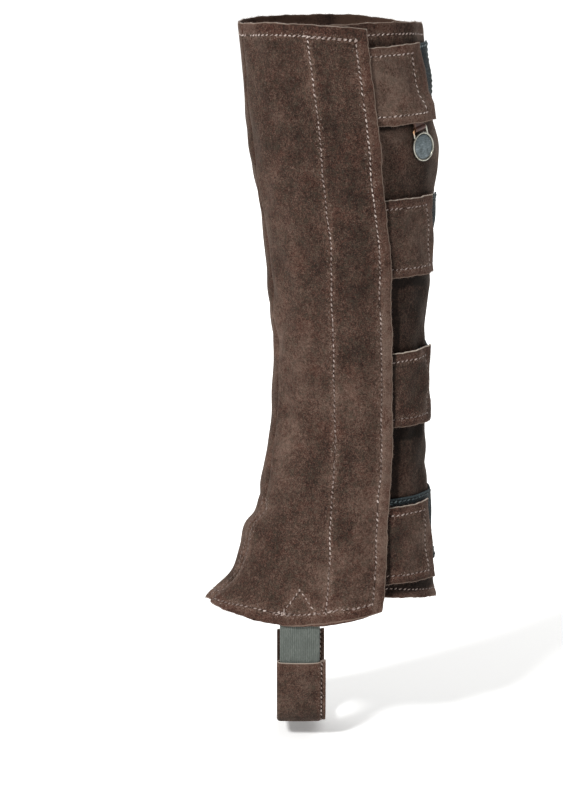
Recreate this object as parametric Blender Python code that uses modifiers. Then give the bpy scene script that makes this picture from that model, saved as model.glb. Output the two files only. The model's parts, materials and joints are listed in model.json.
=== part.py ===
"""A suede half chap for a left leg, worn: two panels, a closing of four tabs, a boot strap and a badge.

Metres, +Z up. The wearer faces -X, and the outer side of the leg faces -Y. The origin lies on the
leg's axis at the calf's fullest level. The leg itself is hollow: every piece of cloth is a wall on
one form, the inside face of the suede. A place on the form is an arc length from the front seam,
round by the outer side, and a height.
"""

import functools
import math
from collections import namedtuple

import bmesh
import bpy
import numpy as np
from mathutils import Matrix, Vector

MM = 0.001

# The half chap's outline in millimetres, a row for each level: the suede's front and back, half its
# breadth, where it is broadest, how pointed its front is (1 is an ellipse), the closing edge of the
# outer panel, and how far the front seam lies from the front, towards the outer side.
Level = namedtuple("Level", "z front back half_breadth broadest nose edge seam")
LEVELS = [
    Level(-332, -104.0, 70.0, 45.5, -6, 1.16, 25.5, 7),
    Level(-312, -93.4, 67.2, 45.0, -5, 1.14, 27.0, 7),
    Level(-297, -78.6, 64.0, 44.3, -3, 1.10, 28.5, 9),
    Level(-275, -70.4, 61.6, 43.6, 0, 1.06, 29.8, 12),
    Level(-256, -64.4, 59.8, 43.0, 2, 1.03, 30.2, 13),
    Level(-240, -58.0, 58.4, 42.6, 3, 1.01, 31.0, 14),
    Level(-226, -55.2, 58.0, 42.3, 4, 1.00, 32.2, 14),
    Level(-205, -51.2, 57.4, 42.2, 4, 1.00, 33.4, 14),
    Level(-180, -48.6, 56.8, 42.6, 5, 1.00, 33.5, 14),
    Level(-140, -47.3, 56.2, 44.4, 4, 1.00, 33.0, 14),
    Level(-100, -49.5, 57.2, 48.0, 3, 1.00, 31.5, 14),
    Level(-60, -53.4, 58.4, 52.4, 2, 1.00, 30.5, 14),
    Level(-20, -59.2, 60.8, 55.4, 0, 1.00, 26.0, 14),
    Level(20, -64.9, 59.8, 56.0, -2, 1.00, 22.0, 14),
    Level(60, -68.2, 54.8, 54.6, -5, 1.00, 17.0, 14),
    Level(96, -71.2, 50.5, 53.0, -7, 1.00, 12.0, 14),
]

# Thicknesses, and the gap that is left between touching pieces of cloth.
SUEDE = 1.8 * MM
LOOP_TAPE = 1.5 * MM
TAB_CLOTH = 2.2 * MM
ELASTIC = 1.4 * MM
LAP_GAP = 0.4 * MM
SEAM_GAP = 0.3 * MM

# The closing, from the leg outwards: inner panel, loop tape, tab, outer panel's margin.
TAPE_RISE = SUEDE + LAP_GAP
TAB_RISE = TAPE_RISE + LOOP_TAPE + LAP_GAP
MARGIN_RISE = TAB_RISE + TAB_CLOTH + LAP_GAP
INNER_TUCK = 28 * MM
TAB_TUCK = 15 * MM
TAPE_TUCK = 6 * MM
MARGIN_FLAT = 17 * MM
MARGIN_FALL = 13 * MM
LAP_FALL = 20 * MM

# Heights of the cut edges, along each panel from 0 to 1.
EdgePoint = namedtuple("EdgePoint", "along z")
OUTER_TOP = [EdgePoint(0, 86.0), EdgePoint(0.35, 88.5), EdgePoint(0.75, 88.0), EdgePoint(1, 85.5)]
OUTER_HEM = [
    EdgePoint(0, -313.0),
    EdgePoint(0.18, -316.0),
    EdgePoint(0.45, -320.5),
    EdgePoint(0.62, -319.5),
    EdgePoint(0.82, -314.5),
    EdgePoint(1, -309.0),
]
INNER_TOP = [
    EdgePoint(0, 87.5),
    EdgePoint(0.18, 89.0),
    EdgePoint(0.26, 87.5),
    EdgePoint(0.36, 84.0),
    EdgePoint(0.62, 86.5),
    EdgePoint(1, 86.0),
]
INNER_HEM = [
    EdgePoint(0, -300.0),
    EdgePoint(0.13, -301.5),
    EdgePoint(0.26, -307.5),
    EdgePoint(0.42, -312.5),
    EdgePoint(0.65, -319.5),
    EdgePoint(0.84, -318.0),
    EdgePoint(1, -312.0),
]

# Soft folds and hollows of the worn suede: a row for each, with where it lies on the way round (0 and
# 1 are the front seam), its height, half its length round and up, how deep it goes (below 0 stands
# proud) and how much it slants.
Fold = namedtuple("Fold", "name around z half_round half_up depth slant")
FOLDS = [
    Fold("front ankle crease", 0.0, -247, 34, 6, 2.2, 0.25),
    Fold("instep swell", 0.02, -262, 26, 9, -1.2, 0.0),
    Fold("outer ankle hollow", 0.17, -176, 30, 16, 1.6, -0.2),
    Fold("outer heel hollow", 0.30, -184, 26, 20, 1.2, 0.3),
    Fold("low outer slack", 0.22, -236, 34, 14, 1.0, 0.35),
    Fold("inner ankle hollow", 0.80, -182, 32, 18, 1.5, 0.2),
    Fold("inner slack", 0.74, -238, 30, 14, 1.1, -0.3),
    Fold("calf drag", 0.66, -92, 26, 30, 0.9, 0.15),
    Fold("slack below first tab", 0.475, -4, 26, 21, -3.6, 0.0),
    Fold("slack below second tab", 0.46, -90, 34, 12, -1.9, 0.0),
    Fold("slack above last tab", 0.46, -229, 34, 9, -1.4, 0.0),
]

# The tabs and their loop tape, top to bottom. A tab's root lies at the outer panel's edge, and its
# length runs from there, longer by slant along its lower edge, which stands off by lift. The tape
# is set out likewise.
Tab = namedtuple(
    "Tab", "root_top end_top root_height end_height length slant lift tape_top tape_length"
)
TABS = [
    Tab(72.7, 74.0, 51.2, 51.0, 42.0, 5.5, 3.7, 73.0, 68.0),
    Tab(-26.8, -26.2, 52.0, 54.0, 43.0, 2.0, 0.6, -28.0, 64.0),
    Tab(-131.4, -131.0, 51.8, 52.2, 41.0, -1.0, 0.8, -132.0, 58.0),
    Tab(-237.9, -237.6, 52.4, 55.0, 36.0, 7.0, 0.8, -232.5, 58.0),
]
TAPE_HEIGHT = 50 * MM
LIFT_START = 4 * MM
LIFT_FLAT = 8 * MM
LIFT_FALL = 12 * MM

# The boot strap: the elastic's middle and breadth along X, and its way down and under the arch,
# as half the gap between the strap's two sides and the height.
STRAP_X = -28.8 * MM
STRAP_BREADTH = 27 * MM
STRAP_TOP = -302 * MM
STRAP_HEM = -318 * MM
STRAP_GAP = 0.7 * MM
StrapPoint = namedtuple("StrapPoint", "half_gap z")
STRAP_WAY = [
    StrapPoint(40.6, -334),
    StrapPoint(38.8, -353),
    StrapPoint(36.6, -371),
    StrapPoint(33.2, -384),
    StrapPoint(26.0, -391),
    StrapPoint(12.0, -393.4),
    StrapPoint(0.0, -393.8),
]
SLEEVE_TOP = -346.5 * MM
SLEEVE_FRONT = -44.6 * MM
SLEEVE_BACK = -11.0 * MM
SLEEVE_THICK = 4.8 * MM
SLEEVE_ROUNDING = 1.2 * MM
SLEEVE_CLEARANCE = 0.3 * MM
HOLLOW_PAST = 0.02

# The badge: a plate with a raised rim on a wire bail, hung on a leather loop below the first tab.
BADGE_ALONG = 32.5 * MM
BADGE_TURN = math.radians(-10)
BADGE_ROLL = math.radians(-15)
BADGE_BREADTH = 18 * MM
BADGE_HEIGHT = 19.5 * MM
PLATE_THICK = 1.9 * MM
RIM_BREADTH = 1.7 * MM
RIM_RAISED = 0.5 * MM
RIM_ROUNDING = 0.3 * MM
BAIL_WIRE = 0.65 * MM
BAIL_HALF_BREADTH = 5.7 * MM
BAIL_DROP = 3.4 * MM
LOOP_BREADTH = 9 * MM
LOOP_LEATHER = 0.9 * MM
LOOP_HOLE = BAIL_WIRE + 0.35 * MM
LOOP_TONGUE = 5 * MM
LOOP_NECK = 1.4 * MM
LOOP_SEAT = 1.2 * MM

# How fine the solids are: steps round the form, and the facets' sizes.
RING_STEPS = 361
PANEL_FACET = 8 * MM
PANEL_ROW = 11 * MM
PANEL_HEIGHT = 408 * MM
TAB_FACET = 6.5 * MM
STRAP_COLUMNS = 4
ELASTIC_ROWS = 44
SLEEVE_ROWS = 30


def removed_scene():
    """Empties the scene, and returns the collection for the parts and the one for the cutters."""
    for thing in list(bpy.data.objects):
        bpy.data.objects.remove(thing, do_unlink=True)
    collections = []
    for name in ("suede half chap", "cutters"):
        collection = bpy.data.collections.new(name)
        bpy.context.scene.collection.children.link(collection)
        collections.append(collection)
    return collections


def finish(name, colour, roughness, metallic=0.0):
    """A plain material: its colour is linear red, green and blue."""
    material = bpy.data.materials.new(name)
    material.use_nodes = True
    shader = material.node_tree.nodes["Principled BSDF"]
    shader.inputs["Base Color"].default_value = (*colour, 1.0)
    shader.inputs["Roughness"].default_value = roughness
    shader.inputs["Metallic"].default_value = metallic
    return material


# The form


def smooth_through(places, values, at):
    """The value at one place on a smooth curve through the points."""
    slopes = np.gradient(values, places)
    i = int(np.clip(np.searchsorted(places, at) - 1, 0, len(places) - 2))
    span = places[i + 1] - places[i]
    t = (at - places[i]) / span
    return (
        (1 + 2 * t) * (1 - t) ** 2 * values[i]
        + t * t * (3 - 2 * t) * values[i + 1]
        + span * t * (1 - t) * ((1 - t) * slopes[i] - t * slopes[i + 1])
    )


def level(column, z):
    """A column of LEVELS at a height, in its own unit."""
    heights = np.array([row.z for row in LEVELS]) * MM
    return smooth_through(heights, np.array([getattr(row, column) for row in LEVELS], float), z)


def edge_height(points, along):
    """The height of a cut edge at a place along it, from 0 to 1."""
    places = np.array([p.along for p in points], float)
    return smooth_through(places, np.array([p.z for p in points], float), along) * MM


def soft_step(t):
    """0 below 0, 1 above 1, and a smooth rise between."""
    t = min(max(t, 0.0), 1.0)
    return t * t * (3 - 2 * t)


@functools.lru_cache(maxsize=None)
def ring(z):
    """The form at a height: arc length from the front, x and y, once round by the outer side."""
    front = level("front", z) * MM + SUEDE
    back = level("back", z) * MM - SUEDE
    half = level("half_breadth", z) * MM - SUEDE
    broadest = level("broadest", z) * MM
    turn = np.linspace(0, 2 * np.pi, RING_STEPS)
    ahead, aside = np.cos(turn), np.sin(turn)
    pointed = np.where(ahead > 0, level("nose", z), 1.0)
    reach = np.where(ahead > 0, broadest - front, back - broadest)
    x = broadest - reach * np.sign(ahead) * np.abs(ahead) ** pointed
    y = -half * np.sign(aside) * np.abs(aside) ** pointed
    arc = np.concatenate([[0], np.cumsum(np.hypot(np.diff(x), np.diff(y)))])
    return arc, x, y


def girth(z):
    """The length of the form once round."""
    return ring(z)[0][-1]


def outer_width(z):
    """The arc length of the outer panel, from the front seam to the closing edge."""
    arc, x, y = ring(z)
    quarter = slice(RING_STEPS // 4, RING_STEPS // 2)
    outward = np.gradient(y, arc)
    face = x + outward * (MARGIN_RISE + SUEDE)
    return float(np.interp(level("edge", z) * MM, face[quarter], arc[quarter])) - level("seam", z) * MM


def fold_depth(s, z):
    """How far the folds push the cloth in at a place."""
    total = 0.0
    round_it = girth(z)
    for fold in FOLDS:
        away = (s / round_it - fold.around + 0.5) % 1 - 0.5
        across = away * round_it / (fold.half_round * MM)
        up = (z - fold.z * MM - fold.slant * away * round_it) / (fold.half_up * MM)
        total += fold.depth * MM * math.exp(-across * across - up * up)
    return total


def bare_form(s, z):
    """A point of the form without its folds."""
    arc, x, y = ring(z)
    at = (s + level("seam", z) * MM) % arc[-1]
    return Vector((float(np.interp(at, arc, x)), float(np.interp(at, arc, y)), z))


def on_form(s, z, rise=0.0):
    """A point at a height above the form's surface, with its folds."""
    step = 1.5 * MM
    along = bare_form(s + step, z) - bare_form(s - step, z)
    up = bare_form(s, z + step) - bare_form(s, z - step)
    outward = along.cross(up).normalized()
    return bare_form(s, z) + outward * (rise - fold_depth(s, z))


# Cloth walls


def make_object(name, mesh, collection, material):
    """Puts a mesh into a collection as a named object."""
    thing = bpy.data.objects.new(name, mesh)
    collection.objects.link(thing)
    mesh.materials.append(material)
    return thing


def grid_mesh(name, columns, rows, place):
    """A grid whose corners go where place(across, down) says, each from 0 to 1."""
    bm = bmesh.new()
    bmesh.ops.create_grid(bm, x_segments=columns, y_segments=rows, size=0.5)
    for vert in bm.verts:
        vert.co = place(vert.co.x + 0.5, 0.5 - vert.co.y)
    mesh = bpy.data.meshes.new(name)
    bm.to_mesh(mesh)
    bm.free()
    mesh.shade_smooth()
    return mesh


def wall(name, columns, rows, place, thickness, collection, material):
    """A cloth wall that grows outwards from the grid's places."""
    thing = make_object(name, grid_mesh(name, columns, rows, place), collection, material)
    solid = thing.modifiers.new("thickness", "SOLIDIFY")
    solid.thickness = thickness
    solid.offset = 1.0
    solid.use_even_offset = True
    return thing


def facets(length, facet):
    """How many facets fit a length."""
    return max(2, round(length / facet))


def margin_rise(inset):
    """How high the outer panel lies at a distance from its closing edge."""
    over_tabs = soft_step((MARGIN_FLAT + MARGIN_FALL - inset) / MARGIN_FALL)
    over_lap = soft_step((INNER_TUCK + LAP_FALL - inset) / LAP_FALL)
    return TAPE_RISE * over_lap + (MARGIN_RISE - TAPE_RISE) * over_tabs


def outer_panel(collection, material):
    """The panel from the front seam round the outer side to the closing edge."""

    def place(across, down):
        z = edge_height(OUTER_TOP, across) * (1 - down) + edge_height(OUTER_HEM, across) * down
        width = outer_width(z)
        return on_form(across * width, z, margin_rise((1 - across) * width))

    columns = facets(outer_width(0), PANEL_FACET)
    rows = facets(PANEL_HEIGHT, PANEL_ROW)
    return wall("outer_panel", columns, rows, place, SUEDE, collection, material)


def inner_panel(collection, material):
    """The panel from under the closing edge round the back and the inner side to the front seam."""

    def place(across, down):
        z = edge_height(INNER_TOP, across) * (1 - down) + edge_height(INNER_HEM, across) * down
        start = outer_width(z) - INNER_TUCK
        return on_form(start + across * (girth(z) - SEAM_GAP - start), z)

    columns = facets(girth(0) - outer_width(0) + INNER_TUCK, PANEL_FACET)
    rows = facets(PANEL_HEIGHT, PANEL_ROW)
    return wall("inner_panel", columns, rows, place, SUEDE, collection, material)


def lower_edge_lift(tab, above_edge):
    """How far a tab stands off at a distance above its lower edge."""
    return tab.lift * MM * soft_step((LIFT_FLAT + LIFT_FALL - above_edge) / LIFT_FALL)


def closing_tab(tab, number, collection, material):
    """One tab, from under the outer panel's margin round to its free end."""

    def place(across, down):
        height = (tab.root_height + across * (tab.end_height - tab.root_height)) * MM
        z = (tab.root_top + across * (tab.end_top - tab.root_top)) * MM - down * height
        length = (tab.length + down * tab.slant) * MM
        s = outer_width(z) - TAB_TUCK + across * (TAB_TUCK + length)
        past_edge = soft_step((s - outer_width(z) - LIFT_START) / LIFT_FALL)
        return on_form(s, z, TAB_RISE + past_edge * lower_edge_lift(tab, (1 - down) * height))

    columns = facets(TAB_TUCK + tab.length * MM, TAB_FACET)
    rows = facets(tab.root_height * MM, TAB_FACET)
    return wall(f"tab_{number}", columns, rows, place, TAB_CLOTH, collection, material)


def loop_patch(tab, number, collection, material):
    """The strip of loop tape on the inner panel under a tab."""

    def place(across, down):
        z = tab.tape_top * MM - down * TAPE_HEIGHT
        s = outer_width(z) - TAPE_TUCK + across * (TAPE_TUCK + tab.tape_length * MM)
        return on_form(s, z, TAPE_RISE)

    columns = facets(TAPE_TUCK + tab.tape_length * MM, TAB_FACET)
    rows = facets(TAPE_HEIGHT, PANEL_FACET)
    return wall(f"loop_patch_{number}", columns, rows, place, LOOP_TAPE, collection, material)


# The boot strap


def half_gap_inside(x, z):
    """Half the gap between the form's outer and inner side at a place along X."""
    arc, xs, ys = ring(z)
    outer_side = slice(0, RING_STEPS // 2)
    return float(-np.interp(x, xs[outer_side], ys[outer_side]))


def strap_line(x):
    """The outer face of the elastic, from the outer side's top end to the arch's middle, as y and z."""
    ends = [(half_gap_inside(x, z) - STRAP_GAP, z) for z in (STRAP_TOP, STRAP_HEM)]
    points = np.array(ends + [(p.half_gap * MM, p.z * MM) for p in STRAP_WAY])
    mirrored = points[-2::-1] * [-1, 1]
    whole = np.concatenate([points, mirrored])
    run = np.concatenate([[0], np.cumsum(np.hypot(*np.diff(whole, axis=0).T))])
    return run / run[-1], whole


def strap_point(x, along, rise=0.0):
    """A point of the strap at a share of its way from the outer to the inner side, moved outwards."""
    run, whole = strap_line(x)
    step = 0.002

    def at(share):
        y, z = (smooth_through(run, whole[:, k], share) for k in (0, 1))
        return Vector((x, -y, z))

    middle = at(along)
    way = (at(min(along + step, 1)) - at(max(along - step, 0))).normalized()
    outward = way.cross(Vector((1, 0, 0)))
    return middle + outward * rise


def strap_share(z):
    """How far along its way the strap's middle line first comes down to a height."""
    shares = np.linspace(0, 0.5, 200)
    heights = [strap_point(STRAP_X, share).z for share in shares]
    return float(np.interp(-z, -np.array(heights), shares))


def strap_strip(name, front, back, start, end, rise, thickness, rows, collection, material):
    """A strip along the strap's way, between two places along X and two shares of the way."""

    def place(across, down):
        x = front + across * (back - front)
        return strap_point(x, start + down * (end - start), rise)

    return wall(name, STRAP_COLUMNS, rows, place, thickness, collection, material)


def elastic_strap(collection, material):
    """The elastic, sewn inside the hem on the outer side and on the inner side."""
    front, back = STRAP_X - STRAP_BREADTH / 2, STRAP_X + STRAP_BREADTH / 2
    rise = -ELASTIC
    return strap_strip(
        "elastic_strap", front, back, 0, 1, rise, ELASTIC, ELASTIC_ROWS, collection, material
    )


def strap_sleeve(collection, cutters, material):
    """The suede sleeve round the elastic, hollowed by a strip a little larger than the elastic."""
    start = strap_share(SLEEVE_TOP)
    below = -(SLEEVE_THICK + ELASTIC) / 2
    sleeve = strap_strip(
        "strap_sleeve",
        SLEEVE_FRONT,
        SLEEVE_BACK,
        start,
        1 - start,
        below,
        SLEEVE_THICK,
        SLEEVE_ROWS,
        collection,
        material,
    )
    rounding = sleeve.modifiers.new("rounding", "BEVEL")
    rounding.width = SLEEVE_ROUNDING
    rounding.segments = 2
    rounding.limit_method = "ANGLE"
    rounding.angle_limit = math.radians(50)
    front = STRAP_X - STRAP_BREADTH / 2 - SLEEVE_CLEARANCE
    back = STRAP_X + STRAP_BREADTH / 2 + SLEEVE_CLEARANCE
    hollow = strap_strip(
        "sleeve_hollow",
        front,
        back,
        start - HOLLOW_PAST,
        1 + HOLLOW_PAST - start,
        -ELASTIC - SLEEVE_CLEARANCE,
        ELASTIC + 2 * SLEEVE_CLEARANCE,
        SLEEVE_ROWS,
        cutters,
        material,
    )
    hollow.hide_render = True
    hollow.display_type = "WIRE"
    cut = sleeve.modifiers.new("hollow", "BOOLEAN")
    cut.operation = "DIFFERENCE"
    cut.solver = "EXACT"
    cut.object = hollow
    return sleeve


# The badge


def badge_place():
    """The bail's axis: its middle, and a matrix whose X runs along it and whose -Y faces out."""
    tab = TABS[0]
    share = (TAB_TUCK + BADGE_ALONG) / (TAB_TUCK + (tab.length + tab.slant) * MM)
    height = (tab.root_height + share * (tab.end_height - tab.root_height)) * MM
    lower_edge = (tab.root_top + share * (tab.end_top - tab.root_top)) * MM - height
    z = lower_edge - LOOP_HOLE - LOOP_LEATHER - LOOP_NECK
    s = outer_width(lower_edge) + BADGE_ALONG
    rise = TAB_RISE + tab.lift * MM - LOOP_SEAT - LOOP_LEATHER
    middle = on_form(s, lower_edge + LOOP_TONGUE, rise)
    along = on_form(s + MM, lower_edge) - on_form(s - MM, lower_edge)
    turn = math.atan2(along.y, along.x) + BADGE_TURN
    lean = Matrix.Rotation(turn, 4, "Z") @ Matrix.Rotation(BADGE_ROLL, 4, "Y")
    return Matrix.Translation((middle.x, middle.y, z)) @ lean


def arc_points(radius, start, end, count, centre=(0, 0)):
    """Points on an arc, in the curve's own plane."""
    angles = np.linspace(start, end, count)
    return [(centre[0] + radius * math.cos(a), centre[1] + radius * math.sin(a)) for a in angles]


def mesh_from(thing, name, collection, material):
    """A curve object's evaluated shape as a mesh object with its caps welded; the curve goes."""
    bpy.context.view_layer.update()
    mesh = bpy.data.meshes.new_from_object(thing.evaluated_get(bpy.context.evaluated_depsgraph_get()))
    bm = bmesh.new()
    bm.from_mesh(mesh)
    bmesh.ops.remove_doubles(bm, verts=bm.verts, dist=0.00001)
    bmesh.ops.recalc_face_normals(bm, faces=bm.faces)
    bm.to_mesh(mesh)
    bm.free()
    mesh.name = name
    mesh.materials.clear()
    made = make_object(name, mesh, collection, material)
    made.matrix_world = thing.matrix_world.copy()
    bpy.data.objects.remove(thing, do_unlink=True)
    return made


def badge_loop(place, collection, material):
    """The leather loop: a strip folded round the bail, its two ends pressed flat under the tab."""
    outside = LOOP_HOLE + LOOP_LEATHER
    half_tongue = LOOP_LEATHER
    shoulder = math.asin(half_tongue / outside)
    top = outside + LOOP_NECK + LOOP_TONGUE
    outline = arc_points(outside, math.pi / 2 + shoulder, 2.5 * math.pi - shoulder, 17)
    outline += [(half_tongue, top), (-half_tongue, top)]
    curve = bpy.data.curves.new("badge_loop", "CURVE")
    curve.dimensions = "2D"
    curve.fill_mode = "BOTH"
    curve.extrude = LOOP_BREADTH / 2
    for points in (outline, arc_points(LOOP_HOLE, 0, 2 * math.pi, 13)[:-1]):
        spline = curve.splines.new("POLY")
        spline.points.add(len(points) - 1)
        for point, (across, up) in zip(spline.points, points):
            point.co = (across, up, 0, 1)
        spline.use_cyclic_u = True
    thing = bpy.data.objects.new("badge_loop_curve", curve)
    collection.objects.link(thing)
    upright = Matrix(((0, 0, 1, 0), (1, 0, 0, 0), (0, 1, 0, 0), (0, 0, 0, 1)))
    thing.matrix_world = place @ upright
    return mesh_from(thing, "badge_loop", collection, material)


def badge_plate(place, collection, material):
    """The plate: a turned disc with a raised rim, stretched to the badge's breadth and height."""
    radius = BADGE_HEIGHT / 2
    half = PLATE_THICK / 2
    field = radius - RIM_BREADTH
    profile = [
        (0, half - RIM_RAISED),
        (field, half - RIM_RAISED),
        (field + RIM_ROUNDING, half),
        (radius - RIM_ROUNDING, half),
        (radius, half - RIM_ROUNDING),
        (radius, -half + RIM_ROUNDING),
        (radius - RIM_ROUNDING, -half),
        (0, -half),
    ]
    bm = bmesh.new()
    verts = [bm.verts.new((r, 0, h)) for r, h in profile]
    edges = [bm.edges.new(pair) for pair in zip(verts, verts[1:])]
    bmesh.ops.spin(
        bm, geom=verts + edges, axis=(0, 0, 1), cent=(0, 0, 0), angle=2 * math.pi, steps=28, use_merge=True
    )
    bmesh.ops.remove_doubles(bm, verts=bm.verts, dist=0.00001)
    bmesh.ops.recalc_face_normals(bm, faces=bm.faces)
    stretch = Matrix.Diagonal((BADGE_BREADTH / BADGE_HEIGHT, 1, 1, 1))
    stand = Matrix.Rotation(math.pi / 2, 4, "X")
    drop = Matrix.Translation((0, 0, -BAIL_DROP - radius))
    bmesh.ops.transform(bm, matrix=drop @ stand @ stretch, verts=bm.verts)
    mesh = bpy.data.meshes.new("badge")
    bm.to_mesh(mesh)
    bm.free()
    plate = make_object("badge", mesh, collection, material)
    plate.matrix_world = place
    return plate


def badge_bail(place, cutters, material):
    """The bail: a wire from one shoulder of the plate over the axis to the other."""
    foot = -BAIL_DROP - RIM_BREADTH * 1.5
    corner = 1.2 * MM
    half = BAIL_HALF_BREADTH
    right = arc_points(corner, 0, math.pi / 2, 4, (half - corner, -corner))
    left = arc_points(corner, math.pi / 2, math.pi, 4, (-half + corner, -corner))
    route = [(half, foot)] + right + left + [(-half, foot)]
    curve = bpy.data.curves.new("bail", "CURVE")
    curve.dimensions = "3D"
    curve.bevel_depth = BAIL_WIRE
    curve.bevel_resolution = 2
    curve.use_fill_caps = True
    spline = curve.splines.new("POLY")
    spline.points.add(len(route) - 1)
    for point, (across, up) in zip(spline.points, route):
        point.co = (across, 0, up, 1)
    thing = bpy.data.objects.new("bail_curve", curve)
    cutters.objects.link(thing)
    thing.matrix_world = place
    bail = mesh_from(thing, "bail", cutters, material)
    bail.hide_render = True
    bail.display_type = "WIRE"
    return bail


def badge(place, collection, cutters, material):
    """The badge, whose origin lies on the bail's axis: the plate and its bail, fused."""
    plate = badge_plate(place, collection, material)
    join = plate.modifiers.new("bail", "BOOLEAN")
    join.operation = "UNION"
    join.solver = "EXACT"
    join.object = badge_bail(place, cutters, material)
    return plate


def main():
    parts, cutters = removed_scene()
    suede = finish("dark brown suede", (0.082, 0.047, 0.036), 0.95)
    tape = finish("black loop tape", (0.012, 0.015, 0.022), 0.9)
    elastic = finish("grey woven elastic", (0.14, 0.16, 0.16), 0.8)
    leather = finish("brown leather", (0.12, 0.045, 0.022), 0.5)
    nickel = finish("aged nickel", (0.45, 0.42, 0.34), 0.35, 1.0)

    outer_panel(parts, suede)
    inner_panel(parts, suede)
    for number, tab in enumerate(TABS, 1):
        closing_tab(tab, number, parts, suede)
        loop_patch(tab, number, parts, tape)
    elastic_strap(parts, elastic)
    strap_sleeve(parts, cutters, suede)
    place = badge_place()
    badge_loop(place, parts, leather)
    badge(place, parts, cutters, nickel)


main()
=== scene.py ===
"""The looks of a worn suede half chap: panels, closing tabs, loop tape, boot strap, badge and sewing.

Metres, +Z up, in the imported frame: the wearer faces -X and the outer side of the leg faces -Y. A place
on the cloth is an arc length from the front seam, round by the outer side, and a height. It is laid
out as a Blender add-on: an operator for each group of pieces and one for the stage.
"""

import json
import math
from collections import namedtuple

import bmesh
import bpy
import numpy as np
from mathutils import Matrix, Vector


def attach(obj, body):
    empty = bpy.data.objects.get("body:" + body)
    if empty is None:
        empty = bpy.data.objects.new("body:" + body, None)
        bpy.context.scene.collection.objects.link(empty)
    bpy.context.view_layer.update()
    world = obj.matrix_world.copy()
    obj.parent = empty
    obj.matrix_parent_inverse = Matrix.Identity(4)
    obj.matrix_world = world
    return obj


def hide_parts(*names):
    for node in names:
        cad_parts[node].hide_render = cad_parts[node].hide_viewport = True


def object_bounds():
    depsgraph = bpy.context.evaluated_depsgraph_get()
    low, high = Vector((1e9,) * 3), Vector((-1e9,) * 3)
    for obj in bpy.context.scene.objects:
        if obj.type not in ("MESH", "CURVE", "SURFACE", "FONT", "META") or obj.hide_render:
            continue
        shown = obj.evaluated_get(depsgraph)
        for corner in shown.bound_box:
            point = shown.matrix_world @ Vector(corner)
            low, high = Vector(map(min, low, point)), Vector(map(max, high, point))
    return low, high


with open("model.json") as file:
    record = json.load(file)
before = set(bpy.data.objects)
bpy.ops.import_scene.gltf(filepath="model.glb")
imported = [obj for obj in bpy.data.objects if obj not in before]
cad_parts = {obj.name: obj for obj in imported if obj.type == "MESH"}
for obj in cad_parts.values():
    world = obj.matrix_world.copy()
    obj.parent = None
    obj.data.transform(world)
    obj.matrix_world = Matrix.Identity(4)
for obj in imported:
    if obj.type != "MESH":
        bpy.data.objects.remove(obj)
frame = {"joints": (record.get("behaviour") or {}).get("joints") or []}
CAD_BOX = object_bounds()

bl_info = {
    "name": "Suede half chap",
    "version": (1, 0, 0),
    "blender": (4, 5, 0),
    "location": "3D View > Sidebar > Half chap",
    "description": "Makes the suede, tapes, elastic, badge and sewing of a worn half chap",
    "category": "Object",
}

MM = 0.001


def table(columns, *rows):
    """Rows of numbers whose columns have names."""
    row = namedtuple("Row", columns)
    return [row(*values) for values in rows]


# The worn outline in millimetres, a row for each level: the suede's front and back, half its breadth,
# where it is broadest, how pointed its front is, the closing edge of the outer panel, and how far the
# front seam lies from the front, towards the outer side.
LEVELS = table(
    "z front back half_breadth broadest nose edge seam",
    (-332, -104.0, 70.0, 45.5, -6, 1.16, 25.5, 7),
    (-312, -93.4, 67.2, 45.0, -5, 1.14, 27.0, 7),
    (-297, -78.6, 64.0, 44.3, -3, 1.10, 28.5, 9),
    (-275, -70.4, 61.6, 43.6, 0, 1.06, 29.8, 12),
    (-256, -64.4, 59.8, 43.0, 2, 1.03, 30.2, 13),
    (-240, -58.0, 58.4, 42.6, 3, 1.01, 31.0, 14),
    (-226, -55.2, 58.0, 42.3, 4, 1.00, 32.2, 14),
    (-205, -51.2, 57.4, 42.2, 4, 1.00, 33.4, 14),
    (-180, -48.6, 56.8, 42.6, 5, 1.00, 33.5, 14),
    (-140, -47.3, 56.2, 44.4, 4, 1.00, 33.0, 14),
    (-100, -49.5, 57.2, 48.0, 3, 1.00, 31.5, 14),
    (-60, -53.4, 58.4, 52.4, 2, 1.00, 30.5, 14),
    (-20, -59.2, 60.8, 55.4, 0, 1.00, 26.0, 14),
    (20, -64.9, 59.8, 56.0, -2, 1.00, 22.0, 14),
    (60, -68.2, 54.8, 54.6, -5, 1.00, 17.0, 14),
    (96, -71.2, 50.5, 53.0, -7, 1.00, 12.0, 14),
)

# Thicknesses, the gaps between layers, and how each layer of the closing rises off the leg.
SUEDE = 1.8 * MM
LOOP_TAPE = 1.5 * MM
TAB_CLOTH = 2.2 * MM
HOOK_TAPE = 0.8 * MM
ELASTIC = 1.4 * MM
LAP_GAP = 0.4 * MM
SEAM_GAP = 0.3 * MM
TAPE_RISE = SUEDE + LAP_GAP
TAB_RISE = TAPE_RISE + LOOP_TAPE + LAP_GAP
MARGIN_RISE = TAB_RISE + TAB_CLOTH + LAP_GAP
INNER_TUCK = 28 * MM
TAB_TUCK = 15 * MM
TAPE_TUCK = 6 * MM
MARGIN_FLAT = 17 * MM
MARGIN_FALL = 13 * MM
LAP_FALL = 20 * MM

# The cut edges: places along each panel, from 0 to 1, and heights in millimetres.
OUTER_TOP = ((0, 86.0), (0.35, 88.5), (0.75, 88.0), (1, 85.5))
OUTER_HEM = ((0, -313.0), (0.18, -316.0), (0.45, -320.5), (0.62, -319.5), (0.82, -314.5), (1, -309.0))
INNER_TOP = ((0, 87.5), (0.18, 89.0), (0.26, 87.5), (0.36, 84.0), (0.62, 86.5), (1, 86.0))
INNER_HEM = (
    *((0, -300.0), (0.13, -301.5), (0.26, -307.5), (0.42, -312.5)),
    *((0.65, -319.5), (0.84, -318.0), (1, -312.0)),
)

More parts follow.
